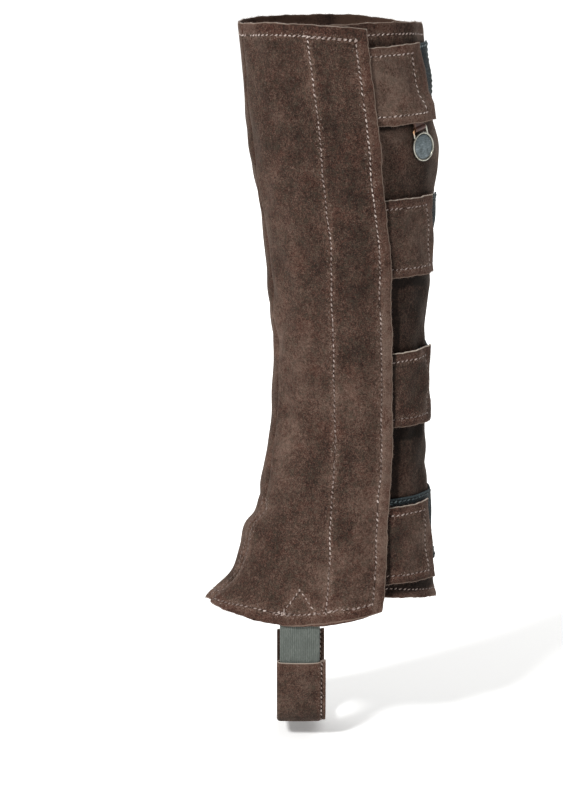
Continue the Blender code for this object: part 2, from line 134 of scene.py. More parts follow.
# Folds and creases in millimetres: where each lies on the way round (0 and 1 are the front seam), its
# height, half its length round and up, its depth (below 0 stands proud), and its slant.
FOLD_COLUMNS = "name around z half_round half_up depth slant"
FOLDS = table(
    FOLD_COLUMNS,
    ("front ankle crease", 0.0, -247, 34, 6, 2.2, 0.25),
    ("instep swell", 0.02, -262, 26, 9, -1.2, 0.0),
    ("outer ankle hollow", 0.17, -176, 30, 16, 1.6, -0.2),
    ("outer heel hollow", 0.30, -184, 26, 20, 1.2, 0.3),
    ("low outer slack", 0.22, -236, 34, 14, 1.0, 0.35),
    ("inner ankle hollow", 0.80, -182, 32, 18, 1.5, 0.2),
    ("inner slack", 0.74, -238, 30, 14, 1.1, -0.3),
    ("calf drag", 0.66, -92, 26, 30, 0.9, 0.15),
    ("slack below first tab", 0.475, -4, 26, 21, -3.6, 0.0),
    ("slack below second tab", 0.46, -90, 34, 12, -1.9, 0.0),
    ("slack above last tab", 0.46, -229, 34, 9, -1.4, 0.0),
)
CREASES = table(
    FOLD_COLUMNS,
    ("upper outer hollow", 0.11, 48, 20, 18, 0.55, 0.1),
    ("upper outer ridge", 0.15, 12, 16, 24, -0.4, -0.2),
    ("front drag", 0.06, -84, 6, 40, 0.55, 0.04),
    ("front drag ridge", 0.095, -96, 6, 34, -0.45, 0.04),
    ("mid outer hollow", 0.16, -70, 14, 20, 0.4, 0.25),
    ("dimple beside centre row", 0.222, -160, 13, 9, 0.9, 0.2),
    ("dimple ahead of centre row", 0.13, -166, 10, 8, 0.7, -0.1),
    ("ridge over ankle", 0.17, -150, 18, 5, -0.5, 0.15),
    ("first instep crease", 0.055, -238, 26, 4, 1.0, 0.42),
    ("second instep crease", 0.095, -224, 20, 3.5, 0.6, 0.5),
    ("instep ridge", 0.07, -231, 24, 3.5, -0.5, 0.45),
    ("low outer wave", 0.19, -252, 20, 7, 0.7, 0.3),
    ("low outer ridge", 0.17, -268, 18, 7, -0.5, 0.25),
    ("hem flute ahead of strap", 0.11, -308, 9, 20, -0.8, 0.0),
    ("hem hollow at strap", 0.17, -306, 10, 18, 0.5, 0.0),
    ("hem flute behind strap", 0.235, -304, 10, 20, -0.6, 0.0),
    ("upper inner hollow", 0.86, 44, 24, 18, 0.6, -0.1),
    ("upper inner ridge", 0.78, 18, 18, 26, -0.5, 0.15),
    ("inner drag", 0.93, -88, 7, 38, 0.5, -0.05),
    ("inner drag ridge", 0.89, -100, 7, 32, -0.45, -0.05),
    ("inner calf wave", 0.70, -40, 20, 12, 0.5, -0.3),
    ("inner ankle dimple", 0.77, -158, 14, 8, 0.8, -0.2),
    ("inner ankle ridge", 0.80, -146, 20, 6, -0.5, -0.15),
    ("inner instep crease", 0.945, -236, 24, 4, 0.9, -0.4),
    ("inner low wave", 0.81, -256, 22, 8, 0.7, -0.3),
    ("inner hem flute", 0.88, -306, 10, 20, -0.7, 0.0),
    ("inner hem hollow", 0.76, -306, 11, 18, 0.6, 0.0),
    ("heel drag", 0.56, -206, 24, 10, 0.7, 0.2),
    ("heel ridge", 0.57, -262, 22, 12, -0.6, 0.1),
    ("back drag", 0.52, 36, 20, 16, 0.5, 0.1),
)
WAVES = 18
WAVE_HEIGHT = 0.16 * MM
WAVE_SEED = 11

# Soft patches painted darker (or, below 0, paler) in millimetres, placed as the folds are: some are stains,
# the rest painted shade and painted light over the folds and the lit front.
PATCHES = table(
    "around z half_round half_up slant depth",
    (0.139, 29, 9, 14, 0.0, 0.3),
    (0.215, -58, 12, 42, 0.0, 0.4),
    (0.131, -77, 9, 14, 0.0, 0.35),
    (0.214, -130, 9, 8, 0.2, 0.6),
    (0.201, -156, 13, 5, 0.0, -0.35),
    (0.206, -200, 8, 18, 0.0, 0.45),
    (0.095, -240, 13, 16, 2.5, 0.45),
    (0.048, -197, 7, 26, 1.0, -0.35),
    (0.02, -72, 9, 60, 0.0, -0.3),
    (0.086, -137, 10, 12, 0.0, -0.2),
    (0.217, -252, 9, 11, 0.0, 0.25),
    (0.25, -234, 8, 12, 0.0, -0.3),
    (0.163, 52, 4, 20, 0.0, -0.3),
    (0.06, -285, 16, 14, 0.0, 0.2),
    (0.14, 40, 52, 56, 0.0, 0.17),
    (0.1, -148, 18, 30, 0.0, -0.22),
    (0.12, -212, 12, 16, 0.3, 0.06),
    (0.2, -286, 14, 12, 0.0, -0.3),
    (0.85, 30, 56, 50, 0.0, 0.2),
    (0.88, -150, 20, 32, 0.0, -0.2),
    (0.86, 20, 12, 18, 0.0, 0.3),
    (0.79, -64, 14, 36, 0.0, 0.35),
    (0.87, -96, 10, 14, 0.0, 0.3),
    (0.78, -150, 13, 8, 0.2, 0.5),
    (0.7, -178, 14, 6, 0.0, -0.3),
    (0.9, -236, 13, 16, -2.5, 0.4),
    (0.95, -190, 8, 28, 0.0, -0.3),
    (0.62, -40, 14, 30, 0.0, 0.3),
    (0.64, -240, 16, 16, 0.0, 0.3),
    (0.35, -219, 8, 9, 0.0, -0.5),
    (0.376, -104, 11, 30, 0.0, 0.68),
    (0.385, -198, 7, 26, 0.0, 0.4),
    (0.385, 0, 13, 24, 0.0, 0.55),
    (0.09, -185, 14, 12, 0.0, -0.36),
    (0.136, -268, 17, 13, 0.0, 0.3),
    (0.042, -274, 9, 16, 0.0, -0.36),
    (0.262, -268, 13, 26, 0.0, -0.38),
    (0.266, -205, 8, 20, 0.0, -0.3),
    (0.228, 12, 12, 12, 0.0, 0.32),
    (0.235, 75, 16, 9, 0.0, 0.32),
    (0.085, -131, 11, 11, 0.0, 0.28),
    (0.118, -14, 14, 11, 0.0, 0.24),
    (0.044, -88, 8, 16, 0.0, -0.22),
    (0.042, -166, 8, 9, 0.0, -0.3),
    (0.201, -219, 7, 6, 0.0, 0.3),
    (0.215, -52, 20, 9, 0.0, 0.2),
    (0.047, 8, 5, 14, 0.0, -0.25),
    (0.028, -230, 7, 12, 0.0, -0.3),
    (0.06, 54, 10, 9, 0.0, -0.18),
    (0.19, -12, 26, 46, 0.0, 0.12),
    (0.18, 85, 32, 7, 0.0, 0.4),
    (0.335, 82, 18, 8, 0.0, 0.25),
    (0.19, -104, 10, 12, 0.0, 0.1),
)

# Where shade is painted on the nap (the closing's shade, the shadow right beside the closing edge, and the
# crevice by it on each tab), where light is painted on it, and where it is rubbed; how far from its cut
# edges it is paler, and how far from a row of stitches no finish tells the distance any more.
PAINTED_SHADE_FOOT = -300 * MM
PAINTED_SHADE_REACH = 62 * MM
SHADED_TOP = -72 * MM
SHADED_REACH = 9.6 * MM
LIT_FOOT = -32 * MM
LIT_TOP = 40 * MM
RUBBED_TOP = -40 * MM
CREVICE_REACH = 4.2 * MM
CREVICE_FALL = 1.6 * MM
EDGE_HALF = 1.2 * MM
NO_ROW = 40 * MM

# The tabs and their loop tape in millimetres, top to bottom: a tab's root lies at the outer panel's edge,
# its length is longer by slant along its lower edge, which stands off by lift, the next column how much
# paler its nap is (rubbed, and partly painted light), worn_at where along it, dark how dark it is and how
# deep the painted shade in its crevice by the closing edge is, end_inset how far its last row lies from its
# end, shade how far below it the inner panel has a painted shadow, and pale how pale its top edge is, partly
# a painted highlight.
TABS = table(
    "root_top end_top root_height end_height length slant lift tape_top tape_length "
    "worn worn_at dark end_inset shade pale",
    (72.7, 74.0, 51.2, 51.0, 42.0, 5.5, 3.7, 73.0, 68.0, 1.6, 0.2, -0.14, 11.5, 3.2, 0.9),
    (-26.8, -26.2, 52.0, 54.0, 43.0, 2.0, 0.6, -28.0, 64.0, 0.7, 0.45, 0.18, 10.0, 8.6, 1.0),
    (-131.4, -131.0, 51.8, 52.2, 41.0, -1.0, 0.8, -132.0, 58.0, 0.35, 0.15, 0.42, 8.5, 11.0, 1.6),
    (-237.9, -237.6, 52.4, 55.0, 36.0, 7.0, 0.8, -232.5, 58.0, 0.9, 0.85, 0.32, 8.5, 0.0, 1.0),
)
TAPE_HEIGHT = 50 * MM
LIFT_START = 4 * MM
LIFT_FLAT = 8 * MM
LIFT_FALL = 12 * MM
HOOK_INSET = 3.4 * MM
EDGE_DROP = 0.45 * MM

# The boot strap: the elastic's middle and breadth along X, and its way down and under the arch in
# millimetres, as half the gap between its two sides and the height.
STRAP_X = -28.8 * MM
STRAP_BREADTH = 27 * MM
STRAP_TOP = -302 * MM
STRAP_HEM = -318 * MM
STRAP_GAP = 0.7 * MM
STRAP_WAY = (
    *((40.6, -334), (38.8, -353), (36.6, -371), (33.2, -384)),
    *((26.0, -391), (12.0, -393.4), (0.0, -393.8)),
)
ELASTIC_RIBS = 21
RIB_HEIGHT = 0.12 * MM
WEFT_PITCH = 0.62 * MM
SLEEVE_TOP = -346.5 * MM
SLEEVE_FRONT = -44.6 * MM
SLEEVE_BACK = -11.0 * MM
SLEEVE_SUEDE = 1.4 * MM
SLEEVE_HALF = 1.7 * MM
SLEEVE_FLARE = 1.6 * MM
SLEEVE_ROW_INSET = 3.0 * MM
# Below the next height the sleeve gets painted shade, where it curves under the arch.
SLEEVE_SHADE_TOP = -376 * MM

# The badge, hung on a leather loop below the first tab.
BADGE_BREADTH = 18 * MM
BADGE_HEIGHT = 19.5 * MM
PLATE_THICK = 1.9 * MM
RIM_BREADTH = 1.15 * MM
FIELD_SUNK = 0.5 * MM
BAIL_WIRE = 0.65 * MM
BAIL_HALF_BREADTH = 5.7 * MM
BAIL_DROP = 3.4 * MM
BAIL_CORNER = 1.2 * MM
LOOP_BREADTH = 9 * MM
LOOP_LEATHER = 0.9 * MM
LOOP_HOLE = BAIL_WIRE + 0.35 * MM
LOOP_TONGUE = 5 * MM
LOOP_NECK = 1.4 * MM

# Rows of stitches: how far each lies from its cut edge, and the strap's triangle above the hem.
TOP_INSET = 8.0 * MM
CLOSING_INSET = 7.0 * MM
CENTRE_INSET = 36.0 * MM
TAB_INSET = 6.0 * MM
TAPE_INSET = 2.2 * MM
INNER_HEM_INSET = 6.2 * MM
HEM_INSETS = ((0, 2.4), (0.12, 4.4), (0.32, 8.0), (0.55, 7.6), (0.8, 7.8), (1, 6.6))
INSTEP_INSET = 2.8 * MM
INSTEP_TOP = -238 * MM
INSTEP_FOOT = -309 * MM
TRIANGLE_RISE = 16.5 * MM
TRIANGLE_HALF = 12.0 * MM
TORN_TOP = -232 * MM
TORN_FOOT = -241 * MM
STITCH_DIP = 0.32 * MM
DIP_HALF = 1.0 * MM
SEAM_ROLL = 1.3 * MM
ROLL_HALF = 1.7 * MM

# Where the rows along the top and the hem start and end, how deep in a cut edge its loose fibres stand
# (0 is the inside face, 1 the outside face), how stitches slant and swing in radians, how far they and
# the fibres wander, and the share of stitches that are left.
ROW_START = 1.5 * MM
TOP_LEVEL = 78 * MM
HEM_LEVEL = -306 * MM
CLOSING_FOOT = -302 * MM
CENTRE_FOOT = -312 * MM
CUT_LAYER = 0.6
STITCH_SLANT = 0.34
STITCH_SWING = 0.34
STITCH_WANDER = 0.1 * MM
STITCHES_KEPT = 0.96
FIBRE_WANDER = 0.45 * MM

# The lights and the camera: angles in degrees (the key light's are how far up and how far aside towards
# the wearer's toe it stands, and how broad it is), places in metres, the lens in millimetres.
KEY_UP = 40
KEY_ASIDE = 35
KEY_BREADTH = 11
BACK_PLACE = (0.9, 1.9, 1.9)
BACK_AIM = (0.5, 0.6, -0.4)
BACK_SIZE = 2.4
CAMERA_PLACE = (-0.04133, -1.99123, 0.25148)
CAMERA_TILT = 78
CAMERA_LENS = 133.92
CAMERA_SENSOR = 36.0

# How fine the cloth is made.
HEIGHT_STEP = 1 * MM
FORM_LOW = -336 * MM
FORM_HIGH = 98 * MM
RING_STEPS = 721
SHARE_STEPS = 901
PANEL_HEIGHT = 408 * MM
OUTER_STEP = 1.45 * MM
INNER_STEP = 1.95 * MM
TAB_STEP = 1.1 * MM
EDGE_LINES = (0.0, 0.3, 0.65, 1.1, 1.7)
ROW_LINES = (-1.3, -0.7, -0.3, 0.3, 0.7, 1.3)


# Numbers along curves


def smooth_through(places, values, at):
    """The values at some places on a smooth curve through the points."""
    slopes = np.gradient(values, places)
    i = np.clip(np.searchsorted(places, at) - 1, 0, len(places) - 2)
    span = places[i + 1] - places[i]
    t = (at - places[i]) / span
    return (
        (1 + 2 * t) * (1 - t) ** 2 * values[i]
        + t * t * (3 - 2 * t) * values[i + 1]
        + span * t * (1 - t) * ((1 - t) * slopes[i] - t * slopes[i + 1])
    )


def level(column, z):
    """A column of LEVELS at some heights, in metres but for nose."""
    heights, values = (np.array([getattr(row, name) for row in LEVELS], float) for name in ("z", column))
    found = smooth_through(heights * MM, values, z)
    return found if column == "nose" else found * MM


def edge_height(points, along):
    """The height of a cut edge, or a row's inset, at places along it from 0 to 1, in metres."""
    places, values = np.array(points, float).T
    return smooth_through(places, values, along) * MM


def lengths_along(points):
    """The length of a flat path up to each of its points."""
    return np.concatenate([[0], np.cumsum(np.hypot(*np.diff(points, axis=0).T))])


def soft_step(t):
    """0 below 0, 1 above 1, and a smooth rise between."""
    t = np.clip(t, 0.0, 1.0)
    return t * t * (3 - 2 * t)


def unit(vectors):
    """Vectors made one long."""
    return vectors / np.linalg.norm(vectors, axis=-1, keepdims=True)


def bell(distance, half):
    """1 at no distance, falling smoothly away."""
    return np.exp(-((distance / half) ** 2))


class LegForm:
    """The inside face of the suede, kept as tables over height and share of the way round."""

    def __init__(self):
        self.heights = np.arange(FORM_LOW, FORM_HIGH, HEIGHT_STEP)
        z = self.heights[:, None]
        front = level("front", z) + SUEDE
        back = level("back", z) - SUEDE
        half = level("half_breadth", z) - SUEDE
        broadest = level("broadest", z)
        turn = np.linspace(0, 2 * np.pi, RING_STEPS)
        ahead, aside = np.cos(turn), np.sin(turn)
        pointed = np.where(ahead > 0, level("nose", z), 1.0)
        reach = np.where(ahead > 0, broadest - front, back - broadest)
        x = broadest - reach * np.sign(ahead) * np.abs(ahead) ** pointed
        y = -half * np.sign(aside) * np.abs(aside) ** pointed
        steps = np.hypot(np.diff(x), np.diff(y))
        arc = np.concatenate([np.zeros_like(z), np.cumsum(steps, axis=1)], axis=1)
        self.girths = arc[:, -1]
        self.widths = np.empty(len(self.heights))
        shares = np.linspace(0, 1, SHARE_STEPS)
        self.tables = np.empty((2, len(self.heights), SHARE_STEPS))
        quarter = slice(RING_STEPS // 4, RING_STEPS // 2)
        for row, height in enumerate(self.heights):
            seam = level("seam", height)
            outward = np.gradient(y[row], arc[row])
            face = x[row] + outward * (MARGIN_RISE + SUEDE)
            edge = np.interp(level("edge", height), face[quarter], arc[row, quarter])
            self.widths[row] = edge - seam
            at = (shares * self.girths[row] + seam) % self.girths[row]
            self.tables[0, row] = np.interp(at, arc[row], x[row])
            self.tables[1, row] = np.interp(at, arc[row], y[row])

    def girth(self, z):
        """The length of the form once round."""
        return np.interp(z, self.heights, self.girths)

    def outer_width(self, z):
        """The arc length from the front seam to the closing edge."""
        return np.interp(z, self.heights, self.widths)

    def bare(self, s, z):
        """Points of the form without its folds."""
        row = np.clip((z - self.heights[0]) / HEIGHT_STEP, 0, len(self.heights) - 1.001)
        share = np.minimum((s / self.girth(z)) % 1, 0.999999) * (SHARE_STEPS - 1)
        i, j = row.astype(int), share.astype(int)
        up, on = row - i, share - j
        low = self.tables[:, i, j] * (1 - on) + self.tables[:, i, j + 1] * on
        high = self.tables[:, i + 1, j] * (1 - on) + self.tables[:, i + 1, j + 1] * on
        x, y = low * (1 - up) + high * up
        return np.stack([x, y, z], axis=-1)


FORM = LegForm()


def wave_table():
    """Slow waves of the worn cloth: turns round the leg, waves a metre up, and where each starts."""
    chance = np.random.RandomState(WAVE_SEED)
    turns = chance.randint(3, 17, WAVES) * chance.choice([-1, 1], WAVES)
    upward = chance.uniform(8, 34, WAVES)
    start = chance.uniform(0, 2 * np.pi, WAVES)
    return list(zip(turns, upward, start))


WAVE_TABLE = wave_table()


def lobes(rows, s, z, unit_depth=1.0):
    """The sum of some folds' or patches' depths at places on the cloth."""
    round_it = FORM.girth(z)
    total = np.zeros(np.broadcast(s, z).shape)
    for lobe in rows:
        away = ((s / round_it - lobe.around + 0.5) % 1 - 0.5) * round_it
        across = away / (lobe.half_round * MM)
        up = (z - lobe.z * MM - lobe.slant * away) / (lobe.half_up * MM)
        total += lobe.depth * unit_depth * np.exp(-across * across - up * up)
    return total


def fold_depth(s, z):
    """How far folds, creases and slow waves push the cloth in."""
    total = lobes(FOLDS + CREASES, s, z, MM)
    for turns, upward, start in WAVE_TABLE:
        turn = 2 * np.pi * (turns * s / FORM.girth(z) + upward * z)
        total += WAVE_HEIGHT * np.sin(turn + start)
    return total


def on_form(s, z, rise=0.0):
    """Points at a height above the form's surface, with its folds."""
    s, z, rise = np.broadcast_arrays(s, z, rise)
    step = 1.5 * MM
    along = FORM.bare(s + step, z) - FORM.bare(s - step, z)
    up = FORM.bare(s, z + step) - FORM.bare(s, z - step)
    outward = unit(np.cross(along, up))
    return FORM.bare(s, z) + outward * (rise - fold_depth(s, z))[..., None]


# Where each cloth lies


def margin_rise(inset):
    """How high the outer panel lies at a distance from its closing edge."""
    over_tabs = soft_step((MARGIN_FLAT + MARGIN_FALL - inset) / MARGIN_FALL)
    over_lap = soft_step((INNER_TUCK + LAP_FALL - inset) / LAP_FALL)
    return TAPE_RISE * over_lap + (MARGIN_RISE - TAPE_RISE) * over_tabs


def stitch_dip(distance):
    """How far a row of stitches pulls the cloth in, at a distance from the row."""
    return STITCH_DIP * bell(distance, DIP_HALF)


def seam_roll(distance):
    """How far a panel rolls in towards the front seam."""
    return SEAM_ROLL * bell(distance, ROLL_HALF)


def nearest(*distances):
    """The least of some distances, each counted without its sign."""
    return np.minimum.reduce(np.broadcast_arrays(*[np.abs(d) for d in distances]))


def where_in(mask, distance):
    """A distance, or one too far to matter where the row doesn't reach."""
    return np.where(mask, distance, 1.0)


def strap_places(side):
    """The arc length to the strap's middle at each of STRAP_LEVELS, outer side (1) or inner (-1)."""
    places = []
    for z in STRAP_LEVELS:
        s = np.linspace(0, 0.45 * FORM.girth(z), 400)
        s = s if side > 0 else FORM.girth(z) - s
        places.append(np.interp(STRAP_X, FORM.bare(s, np.full_like(s, z))[:, 0], s))
    return places


STRAP_LEVELS = np.arange(FORM_LOW, -280 * MM, 4 * MM)
STRAP_PLACES = {side: strap_places(side) for side in (1, -1)}


def strap_middle(side, z):
    """The arc length to the strap's middle at some heights."""
    return np.interp(z, STRAP_LEVELS, STRAP_PLACES[side])


def ragged(place):
    """Small unevenness of a hand-cut edge, at places along it."""
    turns = ((310, 0.0, 0.16), (655, 1.3, 0.12), (1130, 2.1, 0.1), (96, 0.4, 0.2))
    return sum(depth * MM * np.sin(place * turn + start) for turn, start, depth in turns)


class Panel:
    """What the two suede panels share. A place on one is an arc length and a height."""

    @classmethod
    def share(cls, s, z):
        """How far along the panel a place lies, from 0 to 1."""
        return (s - cls.start(z)) / cls.length(z)

    @classmethod
    def arc(cls, share, z):
        """The arc length of a place from how far along the panel it lies."""
        return cls.start(z) + share * cls.length(z)

    @classmethod
    def top_row(cls, s):
        """The height of the row of stitches below the top edge, at some arc lengths."""
        z = np.full_like(s, 80 * MM)
        for _ in range(3):
            z = edge_height(cls.top, cls.share(s, z)) - TOP_INSET
        return z

    @classmethod
    def hem_row(cls, s):
        """The height of the row of stitches above the hem, at some arc lengths."""
        z = np.full_like(s, cls.near_hem)
        for _ in range(4):
            share = cls.share(s, z)
            z = edge_height(cls.hem, share) + cls.hem_inset(share)
        return z


class OuterPanel(Panel):
    """The panel from the front seam round the outer side to the closing edge."""

    top, hem, near_hem = OUTER_TOP, OUTER_HEM, -310 * MM

    @staticmethod
    def start(z):
        """The arc length to its edge at the front seam."""
        return 0.0

    @staticmethod
    def length(z):
        """The arc length along it."""
        return FORM.outer_width(z)

    @staticmethod
    def hem_inset(share):
        """How far the row of stitches lies above the hem."""
        return edge_height(HEM_INSETS, share)

    @classmethod
    def distances(cls, s, z):
        """From the closing edge, the top edge, the hem, and the nearest row of stitches."""
        share = cls.share(s, z)
        inset = cls.length(z) - s
        from_top = edge_height(cls.top, share) - z
        from_hem = z - edge_height(cls.hem, share)
        above_hem = from_hem - cls.hem_inset(share)
        inside = inset > CLOSING_INSET
        between = (from_top > TOP_INSET) & (above_hem > 0)
        row = nearest(
            where_in(between, inset - CLOSING_INSET),
            where_in(between, inset - CENTRE_INSET),
            where_in(inside, from_top - TOP_INSET),
            where_in(inside, above_hem),
            triangle_distance(s - strap_middle(1, z), above_hem),
            where_in(z < INSTEP_TOP, s - INSTEP_INSET),
        )
        return inset, from_top, from_hem, row

    @classmethod
    def point(cls, s, z, layer=0.5):
        """Points in the suede: layer 0 is its inside face and 1 its outside face."""
        inset, from_top, from_hem, row = cls.distances(s, z)
        loose = bell(inset, 6 * MM) * 0.5 * MM * (1 + np.sin(z * 150) + 0.6 * np.sin(z * 67 + 1))
        rise = margin_rise(inset) + loose - stitch_dip(row) - seam_roll(s)
        s = s + ragged(z) * bell(inset, 4 * MM)
        z = z + ragged(s * 0.8) * (bell(from_top, 4 * MM) + bell(from_hem, 4 * MM))
        return on_form(s, z, rise + layer * SUEDE)


class InnerPanel(Panel):
    """The panel from under the closing edge round the back and the inner side to the front seam."""

    top, hem, near_hem = INNER_TOP, INNER_HEM, -308 * MM

    @staticmethod
    def start(z):
        """The arc length to its edge under the outer panel."""
        return FORM.outer_width(z) - INNER_TUCK

    @classmethod
    def length(cls, z):
        """The arc length along it, up to the front seam's gap."""
        return FORM.girth(z) - SEAM_GAP - cls.start(z)

    @staticmethod
    def hem_inset(share):
        """How far the row of stitches lies above the hem."""
        return INNER_HEM_INSET

    @classmethod
    def distances(cls, s, z):
        """From its edge at the closing, the top edge, the hem, and the nearest row of stitches."""
        share = cls.share(s, z)
        from_top = edge_height(cls.top, share) - z
        from_hem = z - edge_height(cls.hem, share)
        row = nearest(
            from_top - TOP_INSET,
            from_hem - INNER_HEM_INSET,
            triangle_distance(s - strap_middle(-1, z), from_hem - INNER_HEM_INSET),
            where_in(z < INSTEP_TOP, FORM.girth(z) - s - INSTEP_INSET),
        )
        return s - cls.start(z), from_top, from_hem, row

    @classmethod
    def point(cls, s, z, layer=0.5):
        """Points in the suede: layer 0 is its inside face and 1 its outside face."""
        _, from_top, from_hem, row = cls.distances(s, z)
        rise = -stitch_dip(row) - seam_roll(FORM.girth(z) - s)
        z = z + ragged(s * 0.9) * (bell(from_top, 4 * MM) + bell(from_hem, 4 * MM))
        return on_form(s, z, rise + layer * SUEDE)


def triangle_distance(along, above):
    """The distance from the slanting sides of the strap's triangle of stitches."""
    slope = math.hypot(TRIANGLE_HALF, TRIANGLE_RISE)
    off_side = (np.abs(along) * TRIANGLE_RISE + above * TRIANGLE_HALF) / slope
    off_side = off_side - TRIANGLE_HALF * TRIANGLE_RISE / slope
    reached = (above > -MM) & (above < TRIANGLE_RISE + MM)
    return where_in(reached, off_side)


class ClosingTab:
    """One tab, from under the outer panel's margin round to its free end."""

    def __init__(self, number):
        self.cut = TABS[number - 1]
        self.number = number

    def size(self, across, down):
        """The tab's height and its whole length, with the part under the margin, at some places."""
        height = (self.cut.root_height + across * (self.cut.end_height - self.cut.root_height)) * MM
        return height, TAB_TUCK + (self.cut.length + down * self.cut.slant) * MM

    def distances(self, across, down):
        """From the nearest free edge and from the nearest row of stitches."""
        height, length = self.size(across, down)
        top, foot, end = down * height, (1 - down) * height, (1 - across) * length
        inside = (top > TAB_INSET) & (foot > TAB_INSET)
        end_inset = self.cut.end_inset * MM
        row = nearest(
            where_in(end > end_inset, top - TAB_INSET),
            where_in(end > end_inset, foot - TAB_INSET),
            where_in(inside, end - end_inset),
        )
        return nearest(top, foot, end), row

    def place(self, across, down):
        """The arc length and height of some places, and how far the lower edge's flare lifts them."""
        height, length = self.size(across, down)
        z = (self.cut.root_top + across * (self.cut.end_top - self.cut.root_top)) * MM - down * height
        s = FORM.outer_width(z) - TAB_TUCK + across * length
        flare = soft_step((LIFT_FLAT + LIFT_FALL - (1 - down) * height) / LIFT_FALL)
        past_edge = soft_step((s - FORM.outer_width(z) - LIFT_START) / LIFT_FALL)
        return s, z, self.cut.lift * MM * flare * past_edge

    def point(self, across, down, layer=0.5):
        """Points in the tab's suede, which lies on the hook tape and droops past its edges."""
        edge, row = self.distances(across, down)
        s, z, lift = self.place(across, down)
        height, length = self.size(across, down)
        near_end = bell((1 - across) * length, 4 * MM)
        near_side = bell(np.minimum(down, 1 - down) * height, 4 * MM)
        s = s + ragged(z + self.number) * near_end
        z = z + ragged(s + self.number) * near_side
        droop = EDGE_DROP * soft_step(1 - edge / HOOK_INSET)
        rise = TAB_RISE + HOOK_TAPE - droop - stitch_dip(row) + lift
        return on_form(s, z, rise + layer * (TAB_CLOTH - HOOK_TAPE))

    def hook_point(self, across, down, layer=0.5):
        """Points in the hook tape under the tab's suede."""
        s, z, lift = self.place(across, down)
        return on_form(s, z, TAB_RISE + lift + layer * (HOOK_TAPE - 0.1 * MM))


class LoopPatch:
    """The strip of loop tape on the inner panel under a tab."""

    def __init__(self, number):
        self.cut = TABS[number - 1]
        self.length = TAPE_TUCK + self.cut.tape_length * MM

    def distances(self, across, down):
        """From the nearest edge and from the row of stitches inside it."""
        along, below = across * self.length, down * TAPE_HEIGHT
        edge = nearest(along, self.length - along, below, TAPE_HEIGHT - below)
        return edge, np.abs(edge - TAPE_INSET)

    def point(self, across, down, layer=0.5):
        """Points in the tape."""
        _, row = self.distances(across, down)
        z = self.cut.tape_top * MM - down * TAPE_HEIGHT
        s = FORM.outer_width(z) - TAPE_TUCK + across * self.length
        return on_form(s, z, TAPE_RISE - 0.6 * stitch_dip(row) + layer * LOOP_TAPE)


class BootStrap:
    """The strap's way from the outer side's hem under the arch to the inner side's hem."""

    @staticmethod
    def half_gap_inside(x, z):
        """Half the gap between the form's outer and inner side at a place along X."""
        s = np.linspace(0, 0.45 * FORM.girth(z), 400)
        points = FORM.bare(s, np.full_like(s, z))
        return -float(np.interp(x, points[:, 0], points[:, 1]))

    @classmethod
    def way(cls, x):
        """The share of the way, and Y and Z, of the elastic's outer face at a place along X."""
        ends = [(cls.half_gap_inside(x, z) - STRAP_GAP, z) for z in (STRAP_TOP, STRAP_HEM)]
        points = np.array(ends + [(half_gap * MM, z * MM) for half_gap, z in STRAP_WAY])
        whole = np.concatenate([points, points[-2::-1] * [-1, 1]])
        run = lengths_along(whole)
        return run / run[-1], whole

    @classmethod
    def point(cls, x, along, rise=0.0):
        """Points at one place along X and some shares of the way, moved outwards."""
        run, whole = cls.way(x)
        step = 0.002

        def at(share):
            y, z = (smooth_through(run, whole[:, k], share) for k in (0, 1))
            return np.stack([np.full_like(y, x), -y, z], axis=-1)

        along = np.asarray(along, float)
        forward = unit(at(np.minimum(along + step, 1)) - at(np.maximum(along - step, 0)))
        outward = np.cross(forward, [1.0, 0.0, 0.0])
        return at(along) + outward * np.asarray(rise)[..., None]

    @classmethod
    def share_at(cls, z):
        """How far along its way the strap first comes down to a height."""
        shares = np.linspace(0, 0.5, 200)
        heights = cls.point(STRAP_X, shares)[:, 2]
        return np.interp(-np.asarray(z), -heights, shares)

    @classmethod
    def length(cls, start, end):
        """The length of the way between two shares."""
        points = cls.point(STRAP_X, np.linspace(start, end, 300))
        return float(np.linalg.norm(np.diff(points, axis=0), axis=1).sum())


# Cloth meshes


def cut_lines(length, step, rows=()):
    """Places across a cloth: evenly apart, and closer at its cut edges and rows of stitches."""
    count = max(2, round(length / step))
    even = np.linspace(0, length, count + 1)
    close = [e * MM for e in EDGE_LINES] + [length - e * MM for e in EDGE_LINES]
    close += [row + e * MM for row in rows for e in ROW_LINES]
    close = np.array([place for place in close if 0 <= place <= length])
    clear = np.abs(even[:, None] - close).min(axis=1) > 0.55 * step
    return np.unique(np.round(np.concatenate([even[clear], close]), 6))


def fitted(places, nominal, length, kept_start, kept_end):
    """Places set out on one length, fitted to another but for a kept stretch at each end."""
    stretch = (length - kept_start - kept_end) / (nominal - kept_start - kept_end)
    middle = kept_start + (places - kept_start) * stretch
    late = places - nominal + length
    return np.where(places < kept_start, places, np.where(places > nominal - kept_end, late, middle))


def make_object(name, data, *materials):
    """A named object in the scene for a mesh, curve, lamp or camera, with its materials in slots."""
    thing = bpy.data.objects.new(name, data)
    bpy.context.scene.collection.objects.link(thing)
    for material in materials:
        data.materials.append(material)
    return thing


def set_mark(mesh, name, values, kind="FLOAT"):
    """Keeps a number or a vector on each of a mesh's points."""
    attribute = mesh.attributes.new(name, kind, "POINT")
    field = "value" if kind == "FLOAT" else "vector"
    attribute.data.foreach_set(field, np.asarray(values, np.float32).ravel())


def plain_mesh(carrier):
    """The mesh that an object's curve or modifiers make of it. The object itself is removed."""
    bpy.context.view_layer.update()
    evaluated = carrier.evaluated_get(bpy.context.evaluated_depsgraph_get())
    mesh = bpy.data.meshes.new_from_object(evaluated)
    bpy.data.objects.remove(carrier, do_unlink=True)
    return mesh


